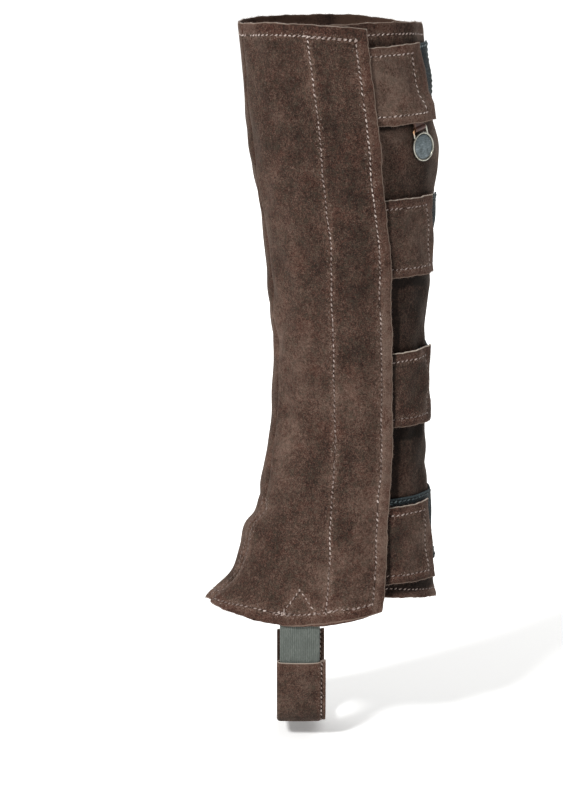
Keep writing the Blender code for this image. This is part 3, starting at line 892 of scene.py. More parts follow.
def mesh_from(bm, name):
    """A named mesh from a bmesh, which is freed."""
    mesh = bpy.data.meshes.new(name)
    bm.to_mesh(mesh)
    bm.free()
    return mesh


def close_up(bm):
    """Joins points that lie on each other and turns all faces outwards."""
    bmesh.ops.remove_doubles(bm, verts=bm.verts, dist=0.000001)
    bmesh.ops.recalc_face_normals(bm, faces=bm.faces)


def grid_mesh(name, points, uv, marks):
    """A smooth mesh through a grid of points, in rows from the top and columns round the leg."""
    rows, columns = points.shape[:2]
    corner = np.arange(rows * columns).reshape(rows, columns)
    faces = [corner[1:, :-1], corner[1:, 1:], corner[:-1, 1:], corner[:-1, :-1]]
    faces = np.stack(faces, axis=-1).reshape(-1, 4)
    mesh = bpy.data.meshes.new(name)
    mesh.from_pydata(points.reshape(-1, 3).tolist(), [], faces.tolist())
    layer = mesh.uv_layers.new(name="cloth")
    layer.uv.foreach_set("vector", uv.reshape(-1, 2)[faces.ravel()].astype(np.float32).ravel())
    for mark, values in marks.items():
        set_mark(mesh, mark, values)
    mesh.shade_smooth()
    return mesh


def cloth(name, points, across, along, marks, thickness, materials):
    """A cloth piece about a grid through its middle, thinner at its cut edges, with the lengths across
    and along it as its UV. Its materials are the outside face's, the cut edge's and the inside's."""
    uv = np.stack(np.broadcast_arrays(across, along), axis=-1)
    thing = make_object(name, grid_mesh(name, points, uv, marks), *materials)
    group = thing.vertex_groups.new(name="thickness")
    share = np.round(1 - 0.42 * bell(marks["edge_mm"].ravel(), 0.7), 2)
    for value in np.unique(share):
        group.add(np.flatnonzero(share == value).tolist(), float(value), "REPLACE")
    solid = thing.modifiers.new("thickness", "SOLIDIFY")
    solid.thickness = thickness
    solid.offset = 0.0
    solid.use_even_offset = True
    solid.vertex_group = "thickness"
    solid.material_offset_rim = 1
    solid.material_offset = 2
    return thing


def hand_over(piece, node=None, body="root"):
    if node:
        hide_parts(node)
    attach(piece, body)


def cloth_marks(edge, row=NO_ROW, worn=0.0, pale=0.0, dark=0.0, sheltered=0.0):
    """What a cloth's finish reads at each point: millimetres from a cut edge and from a row of stitches, how
    much paler its nap is from wear and painted light, how much darker from stains and painted shade, how
    pale its cut edge is, and how deep the painted shade on it is."""
    edge, row, *rest = np.broadcast_arrays(edge, row, worn, pale, dark, sheltered)
    marks = {"edge_mm": edge / MM, "row_mm": np.minimum(row, NO_ROW) / MM}
    return {**marks, **dict(zip(("worn", "pale", "dark", "sheltered"), rest))}


def tab_shade(tab, past_edge, z):
    """How deep the painted shadow on the inner panel is just below a tab, at places past the closing edge.
    """
    along = past_edge / (tab.length * MM)
    root_foot, end_foot = tab.root_top - tab.root_height, tab.end_top - tab.end_height
    below = (root_foot + along * (end_foot - root_foot)) * MM - z
    reached = soft_step((below + 4 * MM) / (2 * MM)) * soft_step((tab.shade * MM - below) / (1.4 * MM))
    return reached * soft_step((1.1 - along) / 0.2)


def flat_area(width_of, top, hem):
    """The flat area of a panel, from its arc length at each height between two heights."""
    z = np.linspace(hem, top, 200)
    return float(np.mean(width_of(z)) * (top - hem))


# Node trees


class Signal:
    """A value in a node tree. Arithmetic on it adds Math nodes."""

    def __init__(self, nodes, socket):
        self.nodes = nodes
        self.socket = socket

    def maths(self, operation, *values):
        """The Math node's result for some values, in its sockets' order."""
        return self.nodes.node("ShaderNodeMath", {"operation": operation}, dict(enumerate(values)))

    def output(self, name):
        """Another output of the same node."""
        return Signal(self.nodes, self.socket.node.outputs[name])

    def __add__(self, other):
        return self.maths("ADD", self, other)

    def __radd__(self, other):
        return self.maths("ADD", other, self)

    def __sub__(self, other):
        return self.maths("SUBTRACT", self, other)

    def __rsub__(self, other):
        return self.maths("SUBTRACT", other, self)

    def __mul__(self, other):
        return self.maths("MULTIPLY", self, other)


class Nodes:
    """Makes and links the nodes of one tree."""

    def __init__(self, tree):
        self.tree = tree

    def node(self, kind, settings=None, inputs=None, output=0):
        """Adds a node with its settings, then its sockets' values or links, and gives one output."""
        made = self.tree.nodes.new(kind)
        for name, value in (settings or {}).items():
            if name == "stops":
                set_stops(made.color_ramp, value)
            else:
                setattr(made, name, value)
        for name, value in (inputs or {}).items():
            if isinstance(value, Signal):
                self.tree.links.new(value.socket, made.inputs[name])
            else:
                made.inputs[name].default_value = value
        return Signal(self, made.outputs[output]) if len(made.outputs) else made


def set_stops(ramp, stops):
    """Sets a colour ramp's places and colours."""
    while len(ramp.elements) < len(stops):
        ramp.elements.new(1.0)
    for element, (place, colour) in zip(ramp.elements, stops):
        element.position = place
        element.color = (*colour[:3], 1.0)


class Finish(Nodes):
    """A material and the nodes that it is made of."""

    def __init__(self, name):
        self.material = bpy.data.materials.new(name)
        self.material.use_nodes = True
        super().__init__(self.material.node_tree)
        self.shader = self.tree.nodes["Principled BSDF"]
        self.place = self.node("ShaderNodeTexCoord", output="Object")

    def stretched(self, *stretch):
        """The place in metres, stretched along X, Y and Z."""
        settings = {"operation": "MULTIPLY"}
        return self.node("ShaderNodeVectorMath", settings, {0: self.place, 1: stretch})

    def noise(self, scale, detail, roughness, place=None):
        """Noise whose grains are about one over scale metres."""
        inputs = {"Scale": scale, "Detail": detail, "Roughness": roughness}
        inputs["Vector"] = self.place if place is None else place
        return self.node("ShaderNodeTexNoise", {}, inputs, "Fac")

    def cells(self, scale, randomness=1.0):
        """The distance from the nearest of many small dots."""
        inputs = {"Vector": self.place, "Scale": scale, "Randomness": randomness}
        return self.node("ShaderNodeTexVoronoi", {"feature": "F1"}, inputs, "Distance")

    def ribs(self, value, breadth):
        """Even ribs across a length, each as broad as given."""
        turn = value * (2 * math.pi / breadth)
        return turn.maths("SINE", turn)

    def split(self, vector, axis):
        """One part of a vector."""
        return self.node("ShaderNodeSeparateXYZ", {}, {0: vector}, axis)

    def mark(self, name):
        """A number kept on the mesh's points."""
        return self.node("ShaderNodeAttribute", {"attribute_name": name}, output="Fac")

    def step(self, value, low, high):
        """0 where a value is at low, 1 at high, and a smooth rise between."""
        settings = {"interpolation_type": "SMOOTHSTEP"}
        inputs = {"Value": value, "From Min": low, "From Max": high}
        return self.node("ShaderNodeMapRange", settings, inputs, "Result")

    def mix(self, factor, first, second, blend="MIX"):
        """A colour between two colours, or the first one blended with the second."""
        inputs = {0: factor, 6: rgba(first), 7: rgba(second)}
        return self.node("ShaderNodeMix", {"data_type": "RGBA", "blend_type": blend}, inputs, 2)

    def ramp(self, value, *stops):
        """A colour read off a ramp."""
        return self.node("ShaderNodeValToRGB", {"stops": stops}, {"Fac": value}, "Color")

    def bump(self, height, strength, distance, under=None):
        """A bump from a height, over another bump where one is given."""
        inputs = {"Height": height, "Strength": strength, "Distance": distance}
        if under is not None:
            inputs["Normal"] = under
        return self.node("ShaderNodeBump", {}, inputs, "Normal")

    def set(self, **inputs):
        """Sets or links the shader's sockets, whose names have _ for a blank, and gives the material."""
        for name, value in inputs.items():
            socket = self.shader.inputs[name.replace("_", " ")]
            if isinstance(value, Signal):
                self.tree.links.new(value.socket, socket)
            else:
                socket.default_value = value
        return self.material


def rgba(colour):
    """A colour with its alpha, or the signal that carries one."""
    return colour if isinstance(colour, Signal) else (*colour[:3], 1.0)


def shade(red, green, blue):
    """A colour as Blender keeps it, from its display values out of 255."""
    return tuple(((c / 255 + 0.055) / 1.055) ** 2.4 if c > 10 else c / 3294.6 for c in (red, green, blue))


# Finishes


def suede_finish(name, look):
    """Brushed suede: a mottled nap, redder by its cut edges, ruffled along rows of stitches."""
    finish = Finish(name)
    size = look.grain / MM
    grain = finish.noise(1500 / size, 3.0, 0.7)
    fleck = finish.noise(560 / size, 3.0, 0.65, finish.stretched(1, 1, 0.8))
    cloud = finish.noise(95, 4.0, 0.6)
    drift = finish.noise(26, 3.0, 0.5)
    rust = finish.noise(60, 3.0, 0.6)
    cool = finish.noise(210, 3.0, 0.6)
    hue = finish.noise(820, 2.0, 0.6)
    edge = finish.mark("edge_mm")
    row = finish.mark("row_mm")
    worn = finish.mark("worn")
    sheltered = finish.mark("sheltered")
    dark = finish.mark("dark")
    rough = worn * 0.5 + dark * 0.7
    # The grain shows more where shade is painted.
    tone = 0.5 + (grain - 0.5) * (2.0 + sheltered * 1.3 + rough) + (fleck - 0.5) * (1.0 + sheltered)
    tone = tone + (cloud - 0.5) * 0.72 + (drift - 0.5) * 0.66
    ruffled = (1 - finish.step(row, 0.8, 4.2)) * (0.02 + fleck * 0.26)
    tone = tone + ruffled + worn * 0.16 - dark * 0.4
    colour = finish.ramp(tone, (0.1, look.dark), (0.48, look.mid), (0.95, look.pale))
    rusty = finish.ramp(tone, (0.1, look.dark), (0.48, look.rust), (0.95, look.pale))
    cooled = finish.step(cool, 0.42, 0.68) * 0.3 + finish.step(hue, 0.5, 0.38) * 0.3
    colour = finish.mix(cooled, colour, look.cool)
    margin = (1 - finish.step(edge, 5.0, 7.5)) * 0.3 + finish.step(rust, 0.5, 0.72) * 0.35
    colour = finish.mix(margin + finish.step(hue, 0.52, 0.64) * 0.35, colour, rusty)
    # Paler where the nap is worn, and where light is painted on it.
    colour = finish.mix(worn * finish.step(cloud, 0.3, 0.7) * 0.4, colour, look.worn)
    # Painted shade in the channel of each row of stitches.
    channel_shade = 1 - finish.step(row, 0.2, 0.9)
    colour = finish.mix(channel_shade * 0.6, colour, look.dark)
    lint = finish.step(finish.noise(1000, 1.0, 0.5), 0.64, 0.72)
    near = 1 - finish.step(row, 1.0, 4.5)
    colour = finish.mix(lint * (0.12 + near * 0.55), colour, look.lint)
    # Painted shade: the nap is multiplied darker where its mark says.
    colour = finish.mix(sheltered, colour, look.sheltered, "MULTIPLY")
    raw = 1 - finish.step(edge + (grain - 0.5) * 0.9, 0.15, 0.75)
    pale = finish.mark("pale")
    raw_colour = finish.mix(pale, look.cut_edge, look.pale_edge)
    colour = finish.mix(raw * (0.55 + finish.step(pale, 0.9, 1.6) * 0.4), colour, raw_colour)
    under = finish.bump(cloud * 0.4 + fleck, 0.35, 0.0006)
    normal = finish.bump(grain, 0.55, 0.0004, under)
    return finish.set(
        Base_Color=colour,
        Roughness=0.96,
        Specular_IOR_Level=0.12,
        Sheen_Weight=look.sheen,
        Sheen_Roughness=0.42,
        Sheen_Tint=rgba(look.sheen_tint),
        Normal=normal,
    )


def cut_edge_finish(name, look):
    """The raw cut edge of the suede: pale fibres, dirtied here and there."""
    finish = Finish(name)
    fibre = finish.noise(2600, 2.0, 0.6)
    dirt = finish.noise(140, 3.0, 0.6)
    tone = (fibre - 0.5) * 1.2 + (dirt - 0.5) * 2.0 + 0.5
    colour = finish.ramp(tone, (0.2, look.rust), (0.75, look.cut_edge))
    pale = finish.ramp(tone, (0.1, look.cut_edge), (0.55, look.pale_edge))
    colour = finish.mix(finish.mark("pale"), colour, pale)
    return finish.set(
        Base_Color=colour,
        Roughness=0.95,
        Specular_IOR_Level=0.15,
        Sheen_Weight=0.2,
        Normal=finish.bump(fibre, 0.5, 0.0003),
    )


def flesh_finish(name, look):
    """The suede's plain inside: flatter, with a short nap."""
    finish = Finish(name)
    grain = finish.noise(1200, 3.0, 0.6)
    cloud = finish.noise(55, 4.0, 0.6)
    tone = (grain - 0.5) * 0.8 + (cloud - 0.5) * 1.2 + 0.5
    colour = finish.ramp(tone, (0.15, look.dark), (0.5, look.inside), (0.9, look.mid))
    return finish.set(
        Base_Color=colour, Roughness=0.93, Specular_IOR_Level=0.15, Normal=finish.bump(grain, 0.3, 0.0003)
    )


def pile_finish(name, look, hooks=False):
    """Hook or loop tape: small tufts over a woven ground."""
    finish = Finish(name)
    tuft = finish.cells(1150, 0.35) if hooks else finish.cells(800, 0.9)
    fuzz = finish.noise(1700, 3.0, 0.7)
    cloud = finish.noise(160, 3.0, 0.6)
    fluff = finish.step(finish.noise(620, 2.0, 0.6), 0.54, 0.68)
    tone = 0.62 - tuft * 0.8 + (fuzz - 0.5) * 1.5 + (cloud - 0.5) * 0.9 + fluff * (0.1 if hooks else 0.3)
    edge = finish.mark("edge_mm")
    colour = finish.ramp(tone, (0.15, look.ground), (0.55, look.pile), (0.95, look.tips))
    colour = finish.mix((1 - finish.step(edge, 0.5, 1.2)) * 0.2, colour, look.tips)
    return finish.set(
        Base_Color=colour,
        Roughness=0.72,
        Specular_IOR_Level=0.14,
        Sheen_Weight=0.0 if hooks else 0.15,
        Sheen_Roughness=0.4,
        Sheen_Tint=rgba(look.tips),
        Normal=finish.bump(fuzz * 0.5 - tuft, 0.8, 0.0005),
    )


def elastic_finish(name, look):
    """Woven elastic: ribs along its length, crossed by fine weft."""
    finish = Finish(name)
    uv = finish.node("ShaderNodeUVMap", {"uv_map": "cloth"})
    weft = finish.ribs(finish.split(uv, "Y"), WEFT_PITCH)
    rib = finish.ribs(finish.split(uv, "X"), STRAP_BREADTH / ELASTIC_RIBS)
    fibre = finish.noise(1900, 3.0, 0.7, finish.stretched(1, 1, 0.2))
    wear = finish.noise(130, 3.0, 0.6)
    tone = 0.5 + rib * 0.11 + weft * 0.07 + (fibre - 0.5) * 0.75 + (wear - 0.5) * 0.25
    colour = finish.ramp(tone, (0.15, look.shadow), (0.5, look.yarn), (0.9, look.light))
    height = rib * 0.4 + weft * 0.35 + fibre * 0.4
    return finish.set(
        Base_Color=colour,
        Roughness=0.74,
        Specular_IOR_Level=0.3,
        Sheen_Weight=0.12,
        Normal=finish.bump(height, 0.6, 0.00018),
    )


def thread_finish(name, look, dull=0.0):
    """Waxed sewing thread, dirtier in places, and dull all over by a share."""
    finish = Finish(name)
    dirt = finish.noise(260, 2.0, 0.5)
    drift = finish.noise(34, 2.0, 0.5)
    twist = finish.noise(3200, 1.0, 0.5)
    dusty = finish.step(finish.split(finish.place, "Z"), 0.04, -0.2)
    tone = 0.65 + (dirt - 0.5) * 1.5 + (drift - 0.5) * 1.1 + (twist - 0.5) * 0.6 - dusty * 0.24
    colour = finish.ramp(tone, (0.1, look.dirty), (0.5, look.thread), (0.9, look.bright))
    colour = finish.mix(dull, colour, look.dirty)
    return finish.set(
        Base_Color=colour,
        Roughness=0.6,
        Specular_IOR_Level=0.4,
        Sheen_Weight=0.1,
        Normal=finish.bump(twist, 0.5, 0.0002),
    )


def metal_finish(name, look, roughness):
    """Plated metal, tarnished in patches, finely scratched, and worn to its copper at one end."""
    finish = Finish(name)
    patch = finish.noise(420, 4.0, 0.65)
    scratch = finish.noise(3000, 2.0, 0.6, finish.stretched(0.25, 1, 2.2))
    covered = finish.step(patch, 0.5, 0.68)
    plating = finish.mix(covered, look.metal, look.tarnish)
    return finish.set(
        Base_Color=finish.mix(finish.mark("bare"), plating, look.copper),
        Metallic=1.0,
        Roughness=roughness + covered * 0.25 + (scratch - 0.5) * 0.2,
        Normal=finish.bump(scratch, 0.15, 0.0001),
    )


def enamel_finish(name, look):
    """The badge's bare field: a satin blue-grey, darker where grime gathers against the rim."""
    finish = Finish(name)
    cloud = finish.noise(260, 4.0, 0.6)
    speck = finish.noise(2400, 2.0, 0.6)
    grime = finish.mark("grime")
    streak = finish.noise(420, 3.0, 0.6, finish.stretched(1, 1, 5))
    tone = cloud + (speck - 0.5) * 0.35 + (streak - 0.5) * 0.9
    colour = finish.ramp(tone, (0.25, look.field_dark), (0.55, look.field), (0.8, look.field_bright))
    colour = finish.mix(grime * 0.75, colour, look.grime)
    return finish.set(
        Base_Color=colour,
        Metallic=0.25,
        Roughness=0.34 + (cloud - 0.5) * 0.4,
        Coat_Weight=0.25,
        Coat_Roughness=0.25,
        Normal=finish.bump(cloud, 0.12, 0.0004),
    )


def leather_finish(name, look):
    """Smooth reddish leather, with a fine grain and paler rubbed edges."""
    finish = Finish(name)
    pores = finish.cells(1500)
    cloud = finish.noise(300, 3.0, 0.6)
    edge = finish.mark("edge_mm")
    colour = finish.ramp(cloud + (pores - 0.5) * 0.2, (0.2, look.leather_dark), (0.7, look.leather))
    colour = finish.mix((1 - finish.step(edge, 0.2, 0.9)) * 0.6, colour, look.leather_rubbed)
    return finish.set(
        Base_Color=colour,
        Roughness=0.5 + (cloud - 0.5) * 0.2,
        Normal=finish.bump(pores, 0.3, 0.0002),
    )


# Sewing


def path_tree(name, sizes):
    """A geometry node tree with named inputs that follows a path: its nodes, its inputs, the spots
    along the path, moved a little at random, and each input's socket identifier by name."""
    tree = bpy.data.node_groups.new(name, "GeometryNodeTree")
    kinds = {"Path": "Geometry", **dict.fromkeys(sizes, "Float"), "Seed": "Int", "Material": "Material"}
    sockets = {}
    for label, kind in kinds.items():
        socket = tree.interface.new_socket(label, in_out="INPUT", socket_type=f"NodeSocket{kind}")
        sockets[label] = socket.identifier
    tree.interface.new_socket("Geometry", in_out="OUTPUT", socket_type="NodeSocketGeometry")
    nodes = Nodes(tree)
    given = nodes.node("NodeGroupInput")
    curve = nodes.node("GeometryNodeMeshToCurve", {}, {"Mesh": given.output("Path")})
    inputs = {"Curve": curve, "Length": given.output("Pitch")}
    spots = nodes.node("GeometryNodeResampleCurve", {"mode": "LENGTH"}, inputs)
    wander, seed = given.output("Wander"), given.output("Seed")
    drift = {axis: random_between(nodes, 0.0 - wander, wander, seed + k) for k, axis in enumerate("XYZ")}
    inputs = {"Geometry": spots, "Offset": nodes.node("ShaderNodeCombineXYZ", {}, drift)}
    return nodes, given, nodes.node("GeometryNodeSetPosition", {}, inputs), sockets


def random_between(nodes, low, high, seed):
    """A random number for each point."""
    return nodes.node("FunctionNodeRandomValue", {}, {2: low, 3: high, 8: seed}, 1)


def turned_to(nodes, tilt, swing):
    """A rotation whose Z faces outwards and X runs along the row, then tilted and swung."""
    tangent = nodes.node("GeometryNodeInputTangent")
    settings = {"data_type": "FLOAT_VECTOR"}
    outward = nodes.node("GeometryNodeInputNamedAttribute", settings, {"Name": "outward"})
    axes = {"primary_axis": "Z", "secondary_axis": "X"}
    inputs = {"Primary Axis": outward, "Secondary Axis": tangent}
    base = nodes.node("FunctionNodeAxesToRotation", axes, inputs)
    euler = nodes.node("ShaderNodeCombineXYZ", {}, {"X": tilt, "Y": 0.0, "Z": swing})
    turn = nodes.node("FunctionNodeEulerToRotation", {}, {"Euler": euler})
    settings = {"rotation_space": "LOCAL"}
    return nodes.node("FunctionNodeRotateRotation", settings, {"Rotation": base, "Rotate By": turn})


def finished_tree(nodes, spots, instance, rotation, scale, keep, material):
    """Puts an instance on each kept spot, realizes them, and gives them a material."""
    inputs = {"Points": spots, "Selection": keep, "Instance": instance}
    inputs = {**inputs, "Rotation": rotation, "Scale": scale}
    placed = nodes.node("GeometryNodeInstanceOnPoints", {}, inputs)
    real = nodes.node("GeometryNodeRealizeInstances", {}, {"Geometry": placed})
    smooth = nodes.node("GeometryNodeSetShadeSmooth", {}, {"Geometry": real})
    dressed = nodes.node("GeometryNodeSetMaterial", {}, {"Geometry": smooth, "Material": material})
    nodes.node("NodeGroupOutput", {}, {"Geometry": dressed})


def stitch_tree():
    """Stitches along paths: short beads of thread, slanted a little, some missing."""
    sizes = ("Pitch", "Length", "Thread", "Slant", "Wander", "Kept")
    nodes, given, spots, sockets = path_tree("stitches along paths", sizes)
    seed = given.output("Seed")
    swing = given.output("Slant") + random_between(nodes, -STITCH_SWING, STITCH_SWING, seed + 5)
    rotation = turned_to(nodes, random_between(nodes, -0.2, 0.2, seed + 6), swing)
    length = given.output("Length") * random_between(nodes, 0.7, 1.1, seed + 7)
    thread = given.output("Thread") * random_between(nodes, 0.75, 1.15, seed + 8)
    scale = nodes.node("ShaderNodeCombineXYZ", {}, {"X": length, "Y": thread, "Z": thread})
    bead = nodes.node("GeometryNodeMeshUVSphere", {}, {"Segments": 8, "Rings": 6, "Radius": 0.5})
    chance = random_between(nodes, 0.0, 1.0, seed + 9)
    kept = chance.maths("LESS_THAN", chance, given.output("Kept"))
    finished_tree(nodes, spots, bead, rotation, scale, kept, given.output("Material"))
    return nodes.tree, sockets


def fibre_tree():
    """Fibres along cut edges: thin tapered hairs that stand out of the edge at odd angles."""
    sizes = ("Pitch", "Length", "Fibre", "Wander")
    nodes, given, spots, sockets = path_tree("fibres along edges", sizes)
    seed = given.output("Seed")
    tilt = random_between(nodes, 0.3, 2.4, seed + 5)
    rotation = turned_to(nodes, tilt, random_between(nodes, -0.7, 0.7, seed + 6))
    length = given.output("Length") * random_between(nodes, 0.3, 1.3, seed + 7)
    width = given.output("Fibre")
    scale = nodes.node("ShaderNodeCombineXYZ", {}, {"X": width, "Y": width, "Z": length})
    inputs = {"Vertices": 3, "Side Segments": 1, "Radius Top": 0.05, "Radius Bottom": 0.5, "Depth": 1.0}
    hair = nodes.node("GeometryNodeMeshCone", {"fill_type": "NONE"}, inputs)
    finished_tree(nodes, spots, hair, rotation, scale, True, given.output("Material"))
    return nodes.tree, sockets


def paths_mesh(name, paths):
    """A mesh of open paths, each given as points and outward directions, for a node tree to follow."""
    points, outward = (np.concatenate(parts) for parts in zip(*paths))
    starts = np.cumsum([0] + [len(path) for path, _ in paths])
    edges = [(i, i + 1) for a, b in zip(starts, starts[1:]) for i in range(a, b - 1)]
    mesh = bpy.data.meshes.new(name)
    mesh.from_pydata(points.tolist(), edges, [])
    set_mark(mesh, "outward", outward, "FLOAT_VECTOR")
    return mesh


def grown(name, paths, tree, sockets, settings):
    """A plain piece of what a node tree grows along some paths."""
    carrier = make_object(name, paths_mesh(f"{name} paths", paths))
    modifier = carrier.modifiers.new("along", "NODES")
    modifier.node_group = tree
    for label, value in settings.items():
        modifier[sockets[label]] = value
    mesh = plain_mesh(carrier)
    mesh.name = name
    return make_object(name, mesh)


def path_on(piece, a, b, layer=1.0, step=0.4 * MM, flip=1.0):
    """A path over a piece's outside face, or another layer of it, with its outward directions."""
    a, b = np.broadcast_arrays(np.asarray(a, float), np.asarray(b, float))
    along = piece.point(a + step, b, layer) - piece.point(a - step, b, layer)
    up = piece.point(a, b + step, layer) - piece.point(a, b - step, layer)
    return piece.point(a, b, layer), unit(np.cross(along, up)) * flip


def path_over(piece, across, down, layer=1.0):
    """A path over a piece that is laid out by shares of its length and, from its top, its height."""
    return path_on(piece, across, down, layer, 0.004, -1.0)


def outer_rows():
    """The outer panel's rows of stitches, two side by side from the centre row to the closing edge."""
    top_middle, top_end = (FORM.outer_width(TOP_LEVEL) - inset for inset in (CENTRE_INSET, CLOSING_INSET))
    hem_middle = FORM.outer_width(CENTRE_FOOT) - CENTRE_INSET
    hem_end = FORM.outer_width(CLOSING_FOOT) - CLOSING_INSET
    rows = []
    for start, end, count, height, above in (
        (ROW_START, top_end, 120, OuterPanel.top_row, 0.0),
        (top_middle, top_end, 50, OuterPanel.top_row, -0.75 * MM),
        (ROW_START, hem_end, 160, OuterPanel.hem_row, 0.0),
        (hem_middle, hem_end, 60, OuterPanel.hem_row, 0.8 * MM),
    ):
        s = np.linspace(start, end, count)
        rows.append(path_on(OuterPanel, s, height(s) + above))
    for inset, torn in ((CLOSING_INSET, (TORN_TOP, TORN_FOOT)), (CENTRE_INSET, ())):
        top = OuterPanel.top_row(FORM.outer_width(TOP_LEVEL) - inset)
        foot = OuterPanel.hem_row(FORM.outer_width(HEM_LEVEL) - inset)
        stops = [top, *torn, foot]
        for high, low in zip(stops[::2], stops[1::2]):
            z = np.linspace(high, low, max(12, int((high - low) / (1.5 * MM))))
            wobble = 0.25 * MM * np.sin(z * 90) + 0.15 * MM * np.sin(z * 230 + 1)
            rows.append(path_on(OuterPanel, FORM.outer_width(z) - inset + wobble, z))
    return rows + triangle_rows(OuterPanel, 1)


def triangle_rows(panel, panel_side):
    """The triangle of stitches that holds the elastic behind a hem."""
    rows = []
    foot = panel.hem_row(strap_middle(panel_side, STRAP_HEM))
    t = np.linspace(0, 1, 24)
    z = foot + (1 - t) * TRIANGLE_RISE
    for side in (-1, 1):
        s = strap_middle(panel_side, z) + side * t * TRIANGLE_HALF
        rows.append(path_on(panel, s, np.where(t > 0.9, panel.hem_row(s), z)))
    s = strap_middle(panel_side, foot) - TRIANGLE_HALF + np.linspace(-3, 5, 10) * MM
    return rows + [path_on(panel, s, panel.hem_row(s) + above) for above in (0.9 * MM, -0.7 * MM)]


def inner_rows():
    """The inner panel's rows of stitches."""
    rows = []
    for z, height in ((TOP_LEVEL, InnerPanel.top_row), (HEM_LEVEL, InnerPanel.hem_row)):
        s = np.linspace(InnerPanel.start(z) + 4 * MM, FORM.girth(z) - ROW_START, 260)
        rows.append(path_on(InnerPanel, s, height(s)))
    return rows + triangle_rows(InnerPanel, -1)


def instep_rows():
    """The two rows beside the front seam, from the ankle's crease down over the instep."""
    z = np.linspace(INSTEP_TOP, INSTEP_FOOT, 60)
    beside = path_on(InnerPanel, FORM.girth(z) - INSTEP_INSET, z)
    return [path_on(OuterPanel, INSTEP_INSET, z), beside]


def tab_rows(tab):
    """A tab's row of stitches along its top, its end and its lower edge."""
    height, length = tab.size(0.5, 0.5)
    inset_down, inset_across = TAB_INSET / height, tab.cut.end_inset * MM / length
    across = np.linspace((TAB_TUCK + ROW_START) / length, 1 - inset_across, 60)
    down = np.linspace(inset_down, 1 - inset_down, 60)
    return [
        path_over(tab, across, inset_down),
        path_over(tab, 1 - inset_across, down),
        path_over(tab, across[::-1], 1 - inset_down),
    ]


def patch_rows(patch):
    """A loop tape's row of stitches inside its top edge, its lower edge and its end."""
    inset_across, inset_down = TAPE_INSET / patch.length, TAPE_INSET / TAPE_HEIGHT
    across = np.linspace(inset_across, 1 - inset_across, 60)
    down = np.linspace(inset_down, 1 - inset_down, 50)
    rows = [path_over(patch, across, fixed) for fixed in (inset_down, 1 - inset_down)]
    return rows + [path_over(patch, 1 - inset_across, down)]


def edge_paths(panel, first, count):
    """A panel's top edge and hem, each with its free side to the right of the way it runs."""
    paths = []
    for edge, flip in ((panel.top, -1), (panel.hem, 1)):
        share = np.linspace(first, 0.99, count)[::flip]
        z = edge_height(edge, share)
        paths.append(path_on(panel, panel.arc(share, z), z, CUT_LAYER))
    return paths


def outer_edges():
    """The outer panel's cut edges, the closing edge first."""
    z = np.linspace(-308 * MM, 85 * MM, 420)
    return [path_on(OuterPanel, FORM.outer_width(z), z, CUT_LAYER), *edge_paths(OuterPanel, 0.02, 200)]


def tab_edges(tab):
    """A tab's top edge, end and lower edge, each with its free side to the right."""
    start = TAB_TUCK / tab.size(0.5, 0.5)[1]
    across, down = np.linspace(start, 0.995, 80), np.linspace(0.005, 0.995, 80)
    ways = ((across[::-1], 0.0), (1.0, down[::-1]), (across, 1.0))
    return [path_over(tab, *way, CUT_LAYER) for way in ways]


def sleeve_row(side):
    """The row of stitches that closes the sleeve, on its outer (1) or inner (-1) face."""
    start = BootStrap.share_at(SLEEVE_TOP) + 0.004
    share = np.linspace(start, 1 - start, 160)
    x = SLEEVE_BACK - SLEEVE_ROW_INSET
    points = BootStrap.point(x, share, -ELASTIC / 2 + side * (SLEEVE_SUEDE + 0.12 * MM))
    return points, unit(points - BootStrap.point(x, share, -ELASTIC / 2))


# Settings


def colour_setting(name, description, red, green, blue):
    """A colour that a user may change."""
    return bpy.props.FloatVectorProperty(
        name=name,
        description=description,
        subtype="COLOR",
        size=3,
        min=0,
        max=1,
        default=shade(red, green, blue),
    )


def length_setting(name, description, default):
    """A length that a user may change."""
    return bpy.props.FloatProperty(
        name=name, description=description, unit="LENGTH", precision=5, default=default
    )


def share_setting(name, description, default):
    """A share from none to all that a user may change."""
    return bpy.props.FloatProperty(
        name=name, description=description, subtype="FACTOR", min=0, max=1, default=default
    )


class SuedeLook(bpy.types.PropertyGroup):
    """The suede's colours and nap."""

    dark: colour_setting("Dark nap", "Nap in its own shade", 28, 18, 15)
    mid: colour_setting("Nap", "The suede's main brown", 59, 42, 35)
    pale: colour_setting("Pale nap", "Nap that catches the light", 101, 81, 71)
    rust: colour_setting("Rust", "Redder brown by cut edges and in patches", 78, 48, 39)
    # This colour is also the painted light on the inner panel.
    worn: colour_setting("Worn nap", "Rubbed nap in the middle of the tabs", 98, 84, 75)
    cool: colour_setting("Cool nap", "Greyer brown here and there", 58, 53, 44)
    lint: colour_setting("Lint", "Loose pale fibres on the nap", 146, 130, 120)
    # The colour that painted shade multiplies the nap by.
    sheltered: colour_setting("Sheltered nap", "What the closing's shade leaves of it", 108, 103, 100)
    cut_edge: colour_setting("Cut edge", "The raw edge of the suede", 96, 68, 54)
    pale_edge: colour_setting("Pale edge", "The palest fibres of the raw edge", 190, 178, 164)
    inside: colour_setting("Inside", "The suede's inside face", 66, 49, 40)
    sheen_tint: colour_setting("Sheen tint", "The colour of the nap's sheen", 196, 176, 160)
    sheen: share_setting("Sheen", "How strongly the nap shines at a low angle", 0.17)
    grain: length_setting("Grain", "The size of the nap's finest grain", 1.0 * MM)
    fibre_pitch: length_setting("Fibre pitch", "From one loose fibre of a cut edge to the next", 0.4 * MM)
    fibre_length: length_setting("Fibre length", "How far a loose fibre reaches", 1.1 * MM)
    fibre: length_setting("Fibre", "A loose fibre's thickness", 0.16 * MM)


